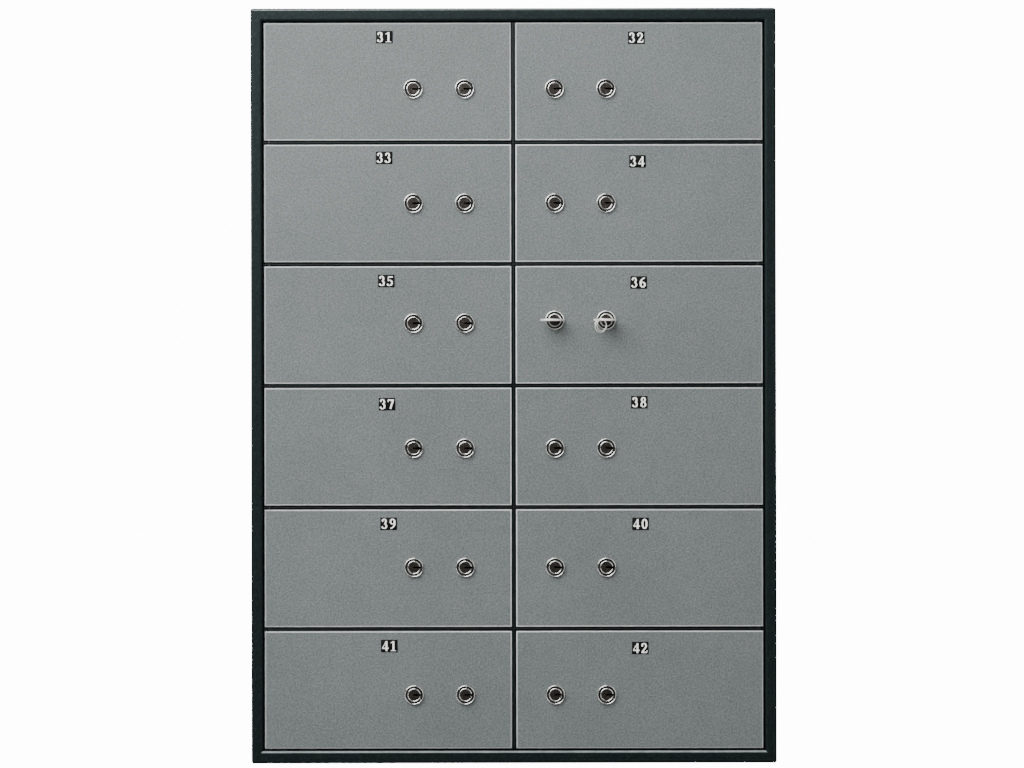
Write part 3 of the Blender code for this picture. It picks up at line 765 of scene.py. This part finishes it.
def casing_profile():
    """Rows of (side inset, end inset, depth, corner radius, painted light and wear) round the
    folded sheet.
    """
    rows = []

    def outer(inset, level, wear=0.0):
        rows.append((inset, inset, level, max(CORNER - inset, DOORWAY_CORNER), wear))

    def inner(inset, level, wear=0.0):
        rows.append((SIDE_FACE + inset, END_FACE + inset, level, DOORWAY_CORNER, wear))

    rear = REAR - FRONT - PANEL_SET - REAR_GAUGE
    curve = arc((OUTER_BEND, OUTER_BEND), (OUTER_BEND, OUTER_BEND), 180, 270)
    # Round the outer front bend: painted shade where it faces sideways, then a painted highlight
    # towards the face and on the face's first row.
    for (inset, level), share in zip(curve, RIM_PAINTED_LIGHT):
        outer(inset, level, share)
    outer(OUTER_BEND + 0.6 * MM, 0, 1.0)
    outer(OUTER_BEND + 1.3 * MM, 0)
    inner(-INNER_BEND - 0.8 * MM, 0)
    # Round the doorway's bend: a painted highlight near the face, then painted shade deeper in;
    # only the sill shows it.
    curve = arc((-INNER_BEND, INNER_BEND), (INNER_BEND, INNER_BEND), 270, 360)
    for (inset, level), share in zip(curve, SILL_PAINTED_LIGHT):
        inner(inset, level, share)
    # Painted shade on the sill's lip inside the doorway.
    inner(0, LIP_DEPTH - 0.5 * MM, PAINTED_GAP_SHADE)
    inner(-0.5 * MM, LIP_DEPTH)
    inner(0.5 * MM - GAUGE, LIP_DEPTH)
    inner(-GAUGE, LIP_DEPTH - 0.5 * MM)
    bend = INNER_BEND - GAUGE
    for inset, level in arc((-INNER_BEND, INNER_BEND), (bend, bend), 360, 270, 3):
        inner(inset, level)
    bend = OUTER_BEND - GAUGE
    for inset, level in arc((OUTER_BEND, OUTER_BEND), (bend, bend), 270, 180, 3):
        outer(inset, level)
    outer(GAUGE, rear - REAR_GAUGE)
    outer(REAR_FLANGE, rear - REAR_GAUGE)
    outer(REAR_FLANGE, rear)
    for inset, level in arc((OUTER_BEND, rear - OUTER_BEND), (OUTER_BEND, OUTER_BEND), 90, 180):
        outer(inset, level, REAR_WEAR)
    return rows


def rub_casing(vert):
    """How much of its row's painted light and wear a point shows: painted highlight and shade on
    the top edge, fading from the left, and on the sill; wear on the rear edge.
    """
    if vert.co.z > CASING_HIGH.z - OUTER_BEND:
        across = (vert.co.x - CASING_LOW.x) / (CASING_HIGH.x - CASING_LOW.x)
        return TOP_LIGHT - TOP_LIGHT_FADE * min(across * TOP_LIGHT_REACH, 1.0)
    above_sill = vert.co.z - CASING_LOW.z - END_FACE
    inside_jamb = CASING_HIGH.x - SIDE_FACE - abs(vert.co.x)
    if abs(above_sill) < 2 * INNER_BEND and inside_jamb > above_sill + 0.01 * MM:
        return SILL_LIGHT_SHARE
    return 0.0 if vert.co.y < REAR - 2 * OUTER_BEND else 1.0


def make_casing():
    """Face frame, walls and rear flange, folded from one sheet round the doorway."""
    bm = bmesh.new()
    # Holds painted highlight and shade round the front bends, and the rear edge's wear.
    bm.verts.layers.float.new("wear")
    rows = casing_profile()
    rings = []
    for side, end, level, radius, _ in rows:
        low = (CASING_LOW.x + side, CASING_LOW.z + end)
        high = (CASING_HIGH.x - side, CASING_HIGH.z - end)
        rings.append(upright_ring(bm, low, high, radius, FRONT + level))
    bridge(bm, rings, closed=True)
    set_wear(bm, rings, [row[4] for row in rows], rub_casing)
    seats = []
    for side in SIDES:
        low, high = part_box(f"hinge_rod_{side}")
        middle = (low + high) / 2
        for z in (CASING_LOW.z + END_FACE - GAUGE / 2, CASING_HIGH.z - END_FACE + GAUGE / 2):
            seat = Matrix.Translation((middle.x, middle.y, z)) @ UPRIGHT
            seats.append(round_cutter(ROD_SEAT, GAUGE, seat))
    name, node = "casing_shell", "outer_casing"
    shell = combine(close_mesh(bm, name), "DIFFERENCE", *seats)
    add_piece(name, shell, "cabinet", "frame_paint", FRAME_COAT, stands_for=[node])


def make_back_panel():
    """Flat panel lapped over the rear flange, spot-welded round its edge."""
    outer_face, inner_face = REAR - PANEL_SET, REAR - PANEL_SET - REAR_GAUGE
    low = (CASING_LOW.x + PANEL_INSET, CASING_LOW.z + PANEL_INSET)
    high = (CASING_HIGH.x - PANEL_INSET, CASING_HIGH.z - PANEL_INSET)
    edge = (
        (PANEL_EDGE, inner_face),
        (0, inner_face + 0.2 * MM),
        (0, outer_face - 0.2 * MM),
        (PANEL_EDGE, outer_face),
    )
    bm = bmesh.new()
    rings = [inset_ring(bm, low, high, inset, CORNER, y) for inset, y in edge]
    bridge(bm, rings)
    bm.faces.new(rings[0])
    bm.faces.new(rings[-1])
    panel = close_mesh(bm, "back_panel")
    holes = [
        round_cutter(ANCHOR_RADIUS, THROUGH, Matrix.Translation((x, REAR, z)))
        for x in (CASING_LOW.x + ANCHOR_INSET, CASING_HIGH.x - ANCHOR_INSET)
        for z in (CASING_LOW.z + ANCHOR_INSET, CASING_HIGH.z - ANCHOR_INSET)
    ]
    panel = combine(panel, "DIFFERENCE", *holes)
    add_piece("back_panel", panel, "cabinet", "frame_paint", FRAME_COAT)
    places = weld_places(outer_face)
    make_fasteners("weld_marks", places, WELD_SPOT, WELD_SEED, "cabinet", "frame_paint", FRAME_COAT)


def weld_places(y):
    """Evenly spaced points round the back panel, over the rear flange."""
    left, right = CASING_LOW.x + WELD_INSET, CASING_HIGH.x - WELD_INSET
    bottom, top = CASING_LOW.z + WELD_INSET, CASING_HIGH.z - WELD_INSET
    across = round((right - left) / WELD_PITCH)
    upward = round((top - bottom) / WELD_PITCH)
    columns = [left + (right - left) * i / across for i in range(across + 1)]
    levels = [bottom + (top - bottom) * i / upward for i in range(1, upward)]
    places = [(x, y, z) for x in columns for z in (bottom, top)]
    return places + [(x, y, z) for z in levels for x in (left, right)]


def rounded_copy(node, width):
    """A CAD node's shape with its flat faces merged and its edges rounded."""
    mesh = frame["nodes"][node].data.copy()
    mesh.materials.clear()
    bm = bmesh.new()
    bm.from_mesh(mesh)
    bmesh.ops.remove_doubles(bm, verts=bm.verts, dist=0.01 * MM)
    flat = math.radians(1)
    bmesh.ops.dissolve_limit(bm, angle_limit=flat, verts=bm.verts, edges=bm.edges)
    return soften(close_mesh(bm, node), width)


def make_inside():
    """Centre post with its rear sheet, and the five shelves that cross it."""
    sheets = {"centre_post_and_sheet": "centre_partition"}
    sheets.update({f"shelf_{level}_sheet": f"shelf_{level}" for level in SHELVES})
    for name, node in sheets.items():
        sheet = rounded_copy(node, SHEET_ROUND)
        add_piece(name, sheet, "cabinet", "liner_paint", LINER_COAT, stands_for=[node])


def make_hinge_rods():
    """Full-height rods with a domed head and a tapered tip."""
    for side in SIDES:
        node = f"hinge_rod_{side}"
        low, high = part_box(node)
        middle = (low + high) / 2
        under = high.z - low.z - ROD_HEAD_TALL
        profile = [(0, 0), (ROD_SHANK * 0.55, 0), (ROD_SHANK, 1.2 * MM), (ROD_SHANK, under)]
        profile += [(ROD_HEAD, under), (ROD_HEAD, under + 0.4 * ROD_HEAD_TALL)]
        profile += [(ROD_HEAD * 0.8, under + 0.8 * ROD_HEAD_TALL), (0, under + ROD_HEAD_TALL)]
        rod = turned_mesh(profile, node, steps=SMALL_ROUND, closed=False)
        rod.transform(Matrix.Translation((middle.x, middle.y, low.z)) @ UPRIGHT)
        add_piece(f"{node}_turned", rod, "cabinet", "zinc_plate", ROD_PAINTED_SHADE, stands_for=[node])


# Figures, each drawn with strokes in a cell one unit high.


def pen(*points):
    return ("pen", points)


def hair(*points):
    return ("hair", points)


def loop(centre, radii):
    return ("loop", arc(centre, radii, 0, 360, 32)[:-1])


def bar(low, high):
    return ("bar", (low, high))


def dot(centre, radius):
    return ("dot", (centre, radius))


SIX = (
    pen(*arc((0.63, 0.40), (0.505, 0.555), 96, 185, 14)),
    loop((0.36, 0.285), (0.205, 0.245)),
)
FIGURES = {
    "0": (loop((0.35, 0.5), (0.205, 0.455)),),
    "1": (
        bar((0.27, 0.02), (0.45, 0.98)),
        bar((0.09, 0.0), (0.63, 0.055)),
        hair((0.09, 0.80), (0.33, 0.945)),
    ),
    "2": (
        dot((0.15, 0.71), 0.085),
        pen(*arc((0.315, 0.70), (0.20, 0.26), 170, -35, 14), (0.13, 0.08)),
        bar((0.07, 0.0), (0.60, 0.13)),
        hair((0.58, 0.02), (0.64, 0.28)),
    ),
    "3": (
        dot((0.145, 0.765), 0.07),
        pen(*arc((0.295, 0.735), (0.175, 0.225), 165, -80, 14)),
        pen(*arc((0.290, 0.275), (0.225, 0.235), 85, -160, 16)),
        dot((0.115, 0.17), 0.08),
    ),
    "4": (
        hair((0.44, 0.95), (0.06, 0.30)),
        bar((0.03, 0.21), (0.67, 0.33)),
        bar((0.37, 0.0), (0.55, 0.98)),
    ),
    "5": (
        bar((0.16, 0.84), (0.60, 0.97)),
        hair((0.18, 0.93), (0.13, 0.52)),
        pen(*arc((0.28, 0.305), (0.245, 0.265), 128, -155, 16)),
        dot((0.105, 0.155), 0.075),
    ),
    "6": SIX,
    "7": (
        bar((0.07, 0.83), (0.63, 0.97)),
        hair((0.075, 0.93), (0.06, 0.70)),
        pen((0.58, 0.90), (0.49, 0.65), (0.38, 0.35), (0.30, 0.01)),
    ),
    "8": (loop((0.35, 0.745), (0.165, 0.215)), loop((0.35, 0.265), (0.205, 0.230))),
    "9": SIX,
}


def stroke_mesh(kind, data, rise):
    """One stroke of a figure, raised from Y = 0 towards -Y."""
    if kind == "bar":
        (x0, z0), (x1, z1) = data
        return box_mesh((x0, -rise, z0), (x1, 0, z1))
    if kind == "dot":
        return prism_mesh(arc(data[0], (data[1], data[1]), 0, 360, 20)[:-1], "Y", -rise, 0)
    closed = kind == "loop"
    bm = bmesh.new()
    sections = []
    count = len(data)
    for i, point in enumerate(data):
        ahead = data[(i + 1) % count] if closed else data[min(i + 1, count - 1)]
        behind = data[i - 1] if closed else data[max(i - 1, 0)]
        run = (Vector(ahead) - Vector(behind)).normalized()
        half = PEN_THIN if kind == "hair" else PEN_THIN + (PEN_THICK - PEN_THIN) * abs(run.y)
        aside = Vector((-run.y, run.x)) * half
        a, b = Vector(point) + aside, Vector(point) - aside
        corners = ((a.x, -rise, a.y), (b.x, -rise, b.y), (b.x, 0, b.y), (a.x, 0, a.y))
        sections.append([bm.verts.new(corner) for corner in corners])
    bridge(bm, sections, closed)
    if not closed:
        bm.faces.new(sections[0])
        bm.faces.new(sections[-1])
    return close_mesh(bm, kind)


def figure_mesh(digit):
    """A raised figure, joined from its strokes, with its cell's middle at 0."""
    rise = FIGURE_RAISE / FIGURE_HEIGHT
    strokes = [
        stroke_mesh(kind, data, rise + STROKE_STEP * i)
        for i, (kind, data) in enumerate(FIGURES[digit])
    ]
    made = combine(strokes[0], "UNION", *strokes[1:]) if len(strokes) > 1 else strokes[0]
    made.transform(Matrix.Translation((-0.35, 0, -0.5)))
    if digit == "9":
        made.transform(Matrix.Rotation(math.pi, 4, "Y"))
    made.transform(Matrix.Scale(FIGURE_HEIGHT, 4))
    return made


# Doors.


def door_frame(number):
    """A door's low and high corner, its face's depth and the way from hinge to free edge."""
    low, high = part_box(f"door_{number}")
    return low, high, low.y + NOSE_PROUD, SIDES[side_of(number)]


def make_door_panel(number):
    low, high, face, way = door_frame(number)
    name = f"door_panel_{number}"

    def rub_door(vert):
        """Edges that pass another door get more painted highlight and shade than those beside the
        casing.
        """
        outer = low.x if way > 0 else high.x
        if abs(vert.co.x - outer) < DOOR_BEND:
            return HINGE_EDGE_LIGHT
        top = CASING_HIGH.z - END_FACE - 2 * DOOR_BEND
        bottom = CASING_LOW.z + END_FACE + 2 * DOOR_BEND
        return 1.0 if bottom <= vert.co.z <= top else CASING_SIDE_LIGHT

    corners = ((low.x, low.z), (high.x, high.z))
    mesh = pan_mesh(name, *corners, face, face + DOOR_DEPTH, DOOR_BEND, DOOR_CORNER, rub_door)
    cutters = []
    for role in ROLES:
        pivot = PIVOTS[f"{role}_plug_{number}_turn"]
        seat = Matrix.Translation((pivot.x, face, pivot.z))
        cutters.append(round_cutter(NOSE_HOLE, THROUGH, seat, ROUND))
    hinge_line = Matrix.Translation(PIVOTS[f"door_{number}_swing"]) @ UPRIGHT
    cutters.append(round_cutter(FLANGE_HOLE, high.z - low.z, hinge_line))
    mesh = combine(mesh, "DIFFERENCE", *cutters)
    add_piece(name, mesh, f"door_{number}", "door_paint", DOOR_COAT, stands_for=[f"door_{number}"])


def nose_ring_mesh():
    """A crowned ring with painted shade in the groove inside it; its seat on the door is at Y = 0.
    """
    crown = arc(*NOSE_CROWN, 0, -180, 8)
    # Slot 1 is painted shade on the groove's walls and floor.
    shaded = [0] * (len(crown) - 1) + [0, 1, 1, 1, 0, 0, 0]
    return turned_mesh(in_mm(NOSE_FOOT, *crown, *NOSE_INSIDE), "nose_ring", shaded)


def plug_mesh(name, arm_turn, arm_length, pin=False):
    """A key plug with its front rim at Y = 0: bright rim, dark core, keyway and arm, with painted
    shade on the outer chamfer and in the keyway.
    """
    rim = arc(*PLUG_RIM, 180, 360, 8)
    profile = in_mm(*PLUG_FACE, *rim, *PLUG_CHAMFER)
    profile += [(PLUG_RADIUS, PLUG_LENGTH - PLUG_END_CHAMFER)]
    profile += [(PLUG_RADIUS - PLUG_END_CHAMFER, PLUG_LENGTH), (0, PLUG_LENGTH)]
    # Slot 2 is painted shade on the outer chamfer by the groove.
    slots = [1] * len(PLUG_FACE) + [0] * (len(rim) - 1) + [2] * len(PLUG_CHAMFER) + [0] * 3
    body = turned_mesh(profile, name, slots, closed=False)
    half = ARM_WIDTH / 2
    tip = arc((0, arm_length - half), (half, half), 0, 180, 10)
    outline = [*tip, (-half, -half), (half, -half)]
    joined = [prism_mesh(outline, "Y", PLUG_LENGTH - 0.2 * MM, PLUG_LENGTH + ARM_THICK)]
    if pin:
        profile = [(0, PLUG_LENGTH), (PIN_RADIUS, PLUG_LENGTH), (PIN_RADIUS, PIN_END - PIN_CHAMFER)]
        profile += [(PIN_RADIUS - PIN_CHAMFER, PIN_END), (0, PIN_END)]
        crank_pin = turned_mesh(profile, "pin", steps=SMALL_ROUND, closed=False)
        crank_pin.transform(Matrix.Translation((0, 0, CRANK_RADIUS)))
        joined.append(crank_pin)
    for mesh in joined:
        mesh.transform(Matrix.Rotation(arm_turn, 4, "Y"))
    # The keyway's walls take slot 2, painted shade.
    cutter = prism_mesh(in_mm(*KEYWAY), "Y", -THROUGH, KEYWAY_DEPTH, slot=2)
    for mesh in (body, *joined, cutter):
        dress(mesh, CHROME, PLUG_CORE, PAINTED_GROOVE_SHADE)
    return combine(combine(body, "UNION", *joined), "DIFFERENCE", cutter)


def make_locks(number, plugs, ring):
    """Nose rings, plugs and bolt of one door."""
    door, face = f"door_{number}", door_frame(number)[2]
    plug_finishes = (CHROME, PLUG_CORE, PAINTED_GROOVE_SHADE)
    for role in ROLES:
        node = f"{role}_plug_{number}"
        pivot = PIVOTS[f"{node}_turn"]
        nose = shifted(ring, Matrix.Translation((pivot.x, face, pivot.z)))
        add_piece(f"nose_ring_{role}_{number}", nose, door, "lock_chrome", CHROME, PAINTED_GROOVE_SHADE)
        kind = "guard" if role == "guard" else side_of(number)
        plug = shifted(plugs[kind], Matrix.Translation(pivot))
        name = f"{role}_key_plug_{number}"
        add_piece(name, plug, node, "lock_chrome", *plug_finishes, stands_for=[node])
    node = f"lock_bolt_{number}"
    bolt = rounded_copy(node, BOLT_ROUND)
    add_piece(f"deadbolt_{number}", bolt, node, "zinc_plate", ZINC, stands_for=[node])


def make_lock_case(number):
    """Folded cover behind the door that holds both plugs and guides the bolt."""
    low, high, face, way = door_frame(number)
    guard = PIVOTS[f"guard_plug_{number}_turn"]
    free_edge = high.x if way > 0 else low.x
    end = free_edge - way * CASE_END_GAP
    left, right = sorted((guard.x - way * CASE_MARGIN, end))
    bottom, top = guard.z - CASE_HEIGHT / 2, guard.z + CASE_HEIGHT / 2
    back = face + CASE_DEPTH
    corners = ((left, bottom), (right, top))
    cover = pan_mesh("cover", *corners, back, face + GAUGE, CASE_BEND, DOOR_CORNER)
    bolt_low, bolt_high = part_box(f"lock_bolt_{number}")
    near, far = sorted((end - way * GAUGE * 1.5, end + way * GAUGE))
    slot = box_mesh(
        (near, bolt_low.y - SLOT_PLAY, bolt_low.z - SLOT_PLAY),
        (far, bolt_high.y + SLOT_PLAY, bolt_high.z + SLOT_PLAY),
    )
    cover = combine(cover, "DIFFERENCE", slot)
    near, far = sorted((end - way * GAUGE, end - way * (GAUGE + GUIDE_LENGTH)))
    guides = [
        soften(box_mesh((near, bolt_low.y, z), (far, back - GAUGE, z + GAUGE)), BOLT_ROUND)
        for z in (bolt_low.z - SLOT_PLAY - GAUGE, bolt_high.z + SLOT_PLAY)
    ]
    case = together(f"lock_case_{number}", cover, *guides)
    door = f"door_{number}"
    add_piece(case.name, case, door, "zinc_plate", ZINC)
    places = [
        (x, back, z)
        for x in (left + SCREW_INSET, right - SCREW_INSET)
        for z in (bottom + SCREW_INSET, top - SCREW_INSET)
    ]
    make_fasteners(f"case_screws_{number}", places, SCREW_HEAD, number, door, "zinc_plate", ZINC)


def make_number_plate(number, figures):
    """A black plate with two raised white figures, near the middle of the door's top."""
    low, high, face, _ = door_frame(number)
    aside, lower = PLATE_SET[number]
    middle = Vector(((low.x + high.x) / 2 - aside * MM, face, high.z - PLATE_DROP - lower * MM))
    wide, tall = PLATE_SIZE
    plate = box_mesh(
        (middle.x - wide / 2, face - PLATE_THICK, middle.z - tall / 2),
        (middle.x + wide / 2, face - 0.02 * MM, middle.z + tall / 2),
    )
    plate = soften(plate, PLATE_ROUND)
    door = f"door_{number}"
    add_piece(f"number_plate_{number}", plate, door, "number_black", PLATE_ENAMEL)
    cells = []
    for digit, way in zip(str(number), (-1, 1)):
        at = middle + Vector((way * FIGURE_PITCH / 2, -PLATE_THICK, 0))
        cells.append(shifted(figures[digit], Matrix.Translation(at)))
    mesh = together(f"number_figures_{number}", *cells)
    add_piece(mesh.name, mesh, door, "number_black", FIGURE_WHITE)


def make_doors():
    ring = nose_ring_mesh()
    reach = CRANK_RADIUS + ARM_WIDTH / 2
    plugs = {
        side: plug_mesh(f"plug_{side}", -way * math.pi / 4, reach, pin=True)
        for side, way in SIDES.items()
    }
    plugs["guard"] = plug_mesh("plug_guard", math.pi, CAM_LENGTH)
    figures = {digit: figure_mesh(digit) for digit in FIGURES}
    for number in NUMBERS:
        make_door_panel(number)
        make_lock_case(number)
        make_locks(number, plugs, ring)
        make_number_plate(number, figures)


# Keys.


def key_mesh(name):
    """A flat key, level, with its blade in the keyway and its bow towards -Y."""
    shift = BOW_SHIFT[name]
    half, thin = KEY_THICK / 2, BLADE_THICK / 2
    outline = arc((shift, BOW_MIDDLE), BOW_RADII, 0, 360, ROUND)[:-1]
    bow = prism_mesh(outline, "Z", -half, half, name)
    left, right = NECK_SPAN
    shoulder = [(left - 2 * MM, BOW_MIDDLE), (right + 2 * MM, BOW_MIDDLE), (right, -3 * MM)]
    shoulder += [(right, -NECK_GAP), (left, -NECK_GAP), (left, -3 * MM)]
    neck = prism_mesh(shoulder, "Z", -half + 0.01 * MM, half - 0.01 * MM)
    first, last = BLADE_SPAN
    root = -NECK_GAP - 1 * MM
    blade_line = [(last, root), (last, 3.6 * MM)]
    for start, drop in KEY_CUTS:
        blade_line += [(last - drop, start), (last - drop, start + 1.4 * MM)]
        blade_line += [(last, start + 2.4 * MM)]
    blade_line += [(last - 1.6 * MM, BLADE_END), (first + 1.6 * MM, BLADE_END)]
    blade_line += [(first, BLADE_END - 1.6 * MM), (first, root)]
    blade = prism_mesh(blade_line, "Z", -thin, thin)
    hole = (shift, BOW_MIDDLE - BOW_RADII[1] + BOW_BRIDGE + BOW_HOLE)
    hole = arc(hole, (BOW_HOLE, BOW_HOLE), 0, 360, 32)[:-1]
    cutters = [prism_mesh(hole, "Z", -THROUGH, THROUGH)]
    panel = arc((shift, BOW_MIDDLE + BOW_PANEL_SET), BOW_PANEL, 0, 360, 32)[:-1]
    floor = half - BOW_PANEL_DEEP
    for near, far in ((-THROUGH, -floor), (floor, THROUGH)):
        cutters.append(prism_mesh(panel, "Z", near, far))
    groove = [first + edge for edge in KEY_GROOVE]
    bottom = thin - KEY_GROOVE_DEEP
    cutters.append(box_mesh((groove[0], 0.5 * MM, bottom), (groove[1], THROUGH * 2, THROUGH)))
    made = combine(combine(bow, "UNION", neck, blade), "DIFFERENCE", *cutters)
    return soften(made, KEY_ROUND, 3)


def ring_tree():
    """A split ring: two turns of wire, a little sprung apart by use."""
    tree, inputs = start_tree(
        "split_ring", "Ring", Geometry="Geometry", Radius="Float",
        Wire="Float", Turns="Float", Spring="Float", Finish="Material",
    )
    inner = sums(tree, "SUBTRACT", inputs["Radius"], inputs["Spring"])
    coil = add(tree, "GeometryNodeCurveSpiral", {
        "Resolution": 40, "Rotations": inputs["Turns"], "Start Radius": inputs["Radius"],
        "End Radius": inner, "Height": inputs["Spring"],
    })
    size = {"Resolution": 10, "Radius": inputs["Wire"]}
    wire = add(tree, "GeometryNodeCurvePrimitiveCircle", size)
    swept = add(tree, "GeometryNodeCurveToMesh", {
        "Curve": coil.outputs[0], "Profile Curve": wire.outputs[0], "Fill Caps": True,
    })
    smooth = add(tree, "GeometryNodeSetShadeSmooth", {"Geometry": swept.outputs[0]})
    return end_tree(tree, "Ring", smooth.outputs[0], inputs["Finish"])


def make_keys():
    """Both keys seated in their plugs, and the split ring on the guard's key."""
    for role in ROLES:
        name = f"{role}_key"
        pivot = PIVOTS[f"{role}_plug_{KEYED_DOOR}_turn"]
        key = shifted(key_mesh(name), Matrix.Translation(pivot))
        add_piece(f"{name}_cut", key, name, "key_nickel", NICKEL, stands_for=[name])
    ring = run_tree(
        ring_tree(), points_mesh([]), "split_ring",
        Radius=RING_RADIUS, Wire=RING_WIRE, Turns=RING_COILS, Spring=RING_SPRING, Finish=NICKEL,
    )
    levels = [vert.co.z for vert in ring.vertices]
    ring.transform(Matrix.Translation((0, 0, -(min(levels) + max(levels)) / 2)))
    middle = PIVOTS["key_ring_swing"] - Vector((0, 0, RING_DROP))
    ring.transform(Matrix.Translation(middle) @ Matrix.Rotation(RING_TURN, 4, "Z") @ UPRIGHT)
    add_piece("split_ring", ring, "key_ring", "key_nickel", NICKEL, stands_for=["key_ring"])


# Studio.


def show_white(tree, lit, glow, output):
    """Shows the camera plain white, while the object is lit by what is there."""
    white = add(tree, glow, {"Color": (1, 1, 1, 1), "Strength": WHITE})
    seen = add(tree, "ShaderNodeLightPath").outputs["Is Camera Ray"]
    both = add(tree, "ShaderNodeMixShader", {0: seen, 1: lit.outputs[0], 2: white.outputs[0]})
    tree.links.new(both.outputs[0], tree.nodes[output].inputs["Surface"])


def make_floor():
    """A plain pale floor that the cabinet stands on."""
    bm = bmesh.new()
    bmesh.ops.create_grid(bm, x_segments=1, y_segments=1, size=6)
    floor = set_up(close_mesh(bm, "studio_floor"), "studio_floor")
    floor.location.z = CASING_LOW.z - 0.5 * MM
    material, tree, shader = start_finish("studio_white", 0.8)
    shader.inputs["Base Color"].default_value = (0.3, 0.3, 0.3, 1)
    show_white(tree, shader, "ShaderNodeEmission", "Material Output")
    floor.data.materials.append(material)


def make_world():
    """A room with bright walls and a dim end facing the doors, and a white backdrop."""
    world = bpy.data.worlds.new("studio")
    bpy.context.scene.world = world
    world.use_nodes = True
    tree = world.node_tree
    room = tree.nodes["Background"]
    direction = add(tree, "ShaderNodeTexCoord").outputs["Object"]
    away = add(tree, "ShaderNodeSeparateXYZ", {0: direction})
    facing = sums(tree, "MULTIPLY", away.outputs[1], -1.0)
    walls = ramp(tree, facing, (0.0, 0.8), (0.45, 1.0), (0.68, 0.75), (0.86, 0.03))
    rise = sums(tree, "ADD", sums(tree, "MULTIPLY", away.outputs[2], 0.35), 0.65)
    tone = blend_colours(tree, "MULTIPLY", 1.0, walls, rise)
    tree.links.new(tone, room.inputs["Color"])
    room.inputs["Strength"].default_value = ROOM_LIGHT
    show_white(tree, room, "ShaderNodeBackground", "World Output")


def add_softbox(name, location, aim, size, power):
    light = bpy.data.lights.new(name, "AREA")
    light.shape = "RECTANGLE"
    light.size, light.size_y = size
    light.energy = power
    softbox = set_up(light, name)
    softbox.location = location
    softbox.rotation_euler = (Vector(aim) - Vector(location)).to_track_quat("-Z", "Y").to_euler()


def make_camera():
    """A long lens straight in front of the doors."""
    data = bpy.data.cameras.new("camera")
    data.sensor_width = 36
    data.lens = CAMERA_LENS
    camera = set_up(data, "camera")
    camera.location = CAMERA_PLACE
    camera.rotation_euler = (math.pi / 2, CAMERA_ROLL, 0)
    bpy.context.scene.camera = camera


make_casing()
make_back_panel()
make_inside()
make_hinge_rods()
make_doors()
make_keys()
for head in (SCREW_HEAD, WELD_SPOT):
    bpy.data.objects.remove(head)

make_camera()
make_floor()
make_world()
for name, setting in SOFTBOXES.items():
    add_softbox(name, *setting)
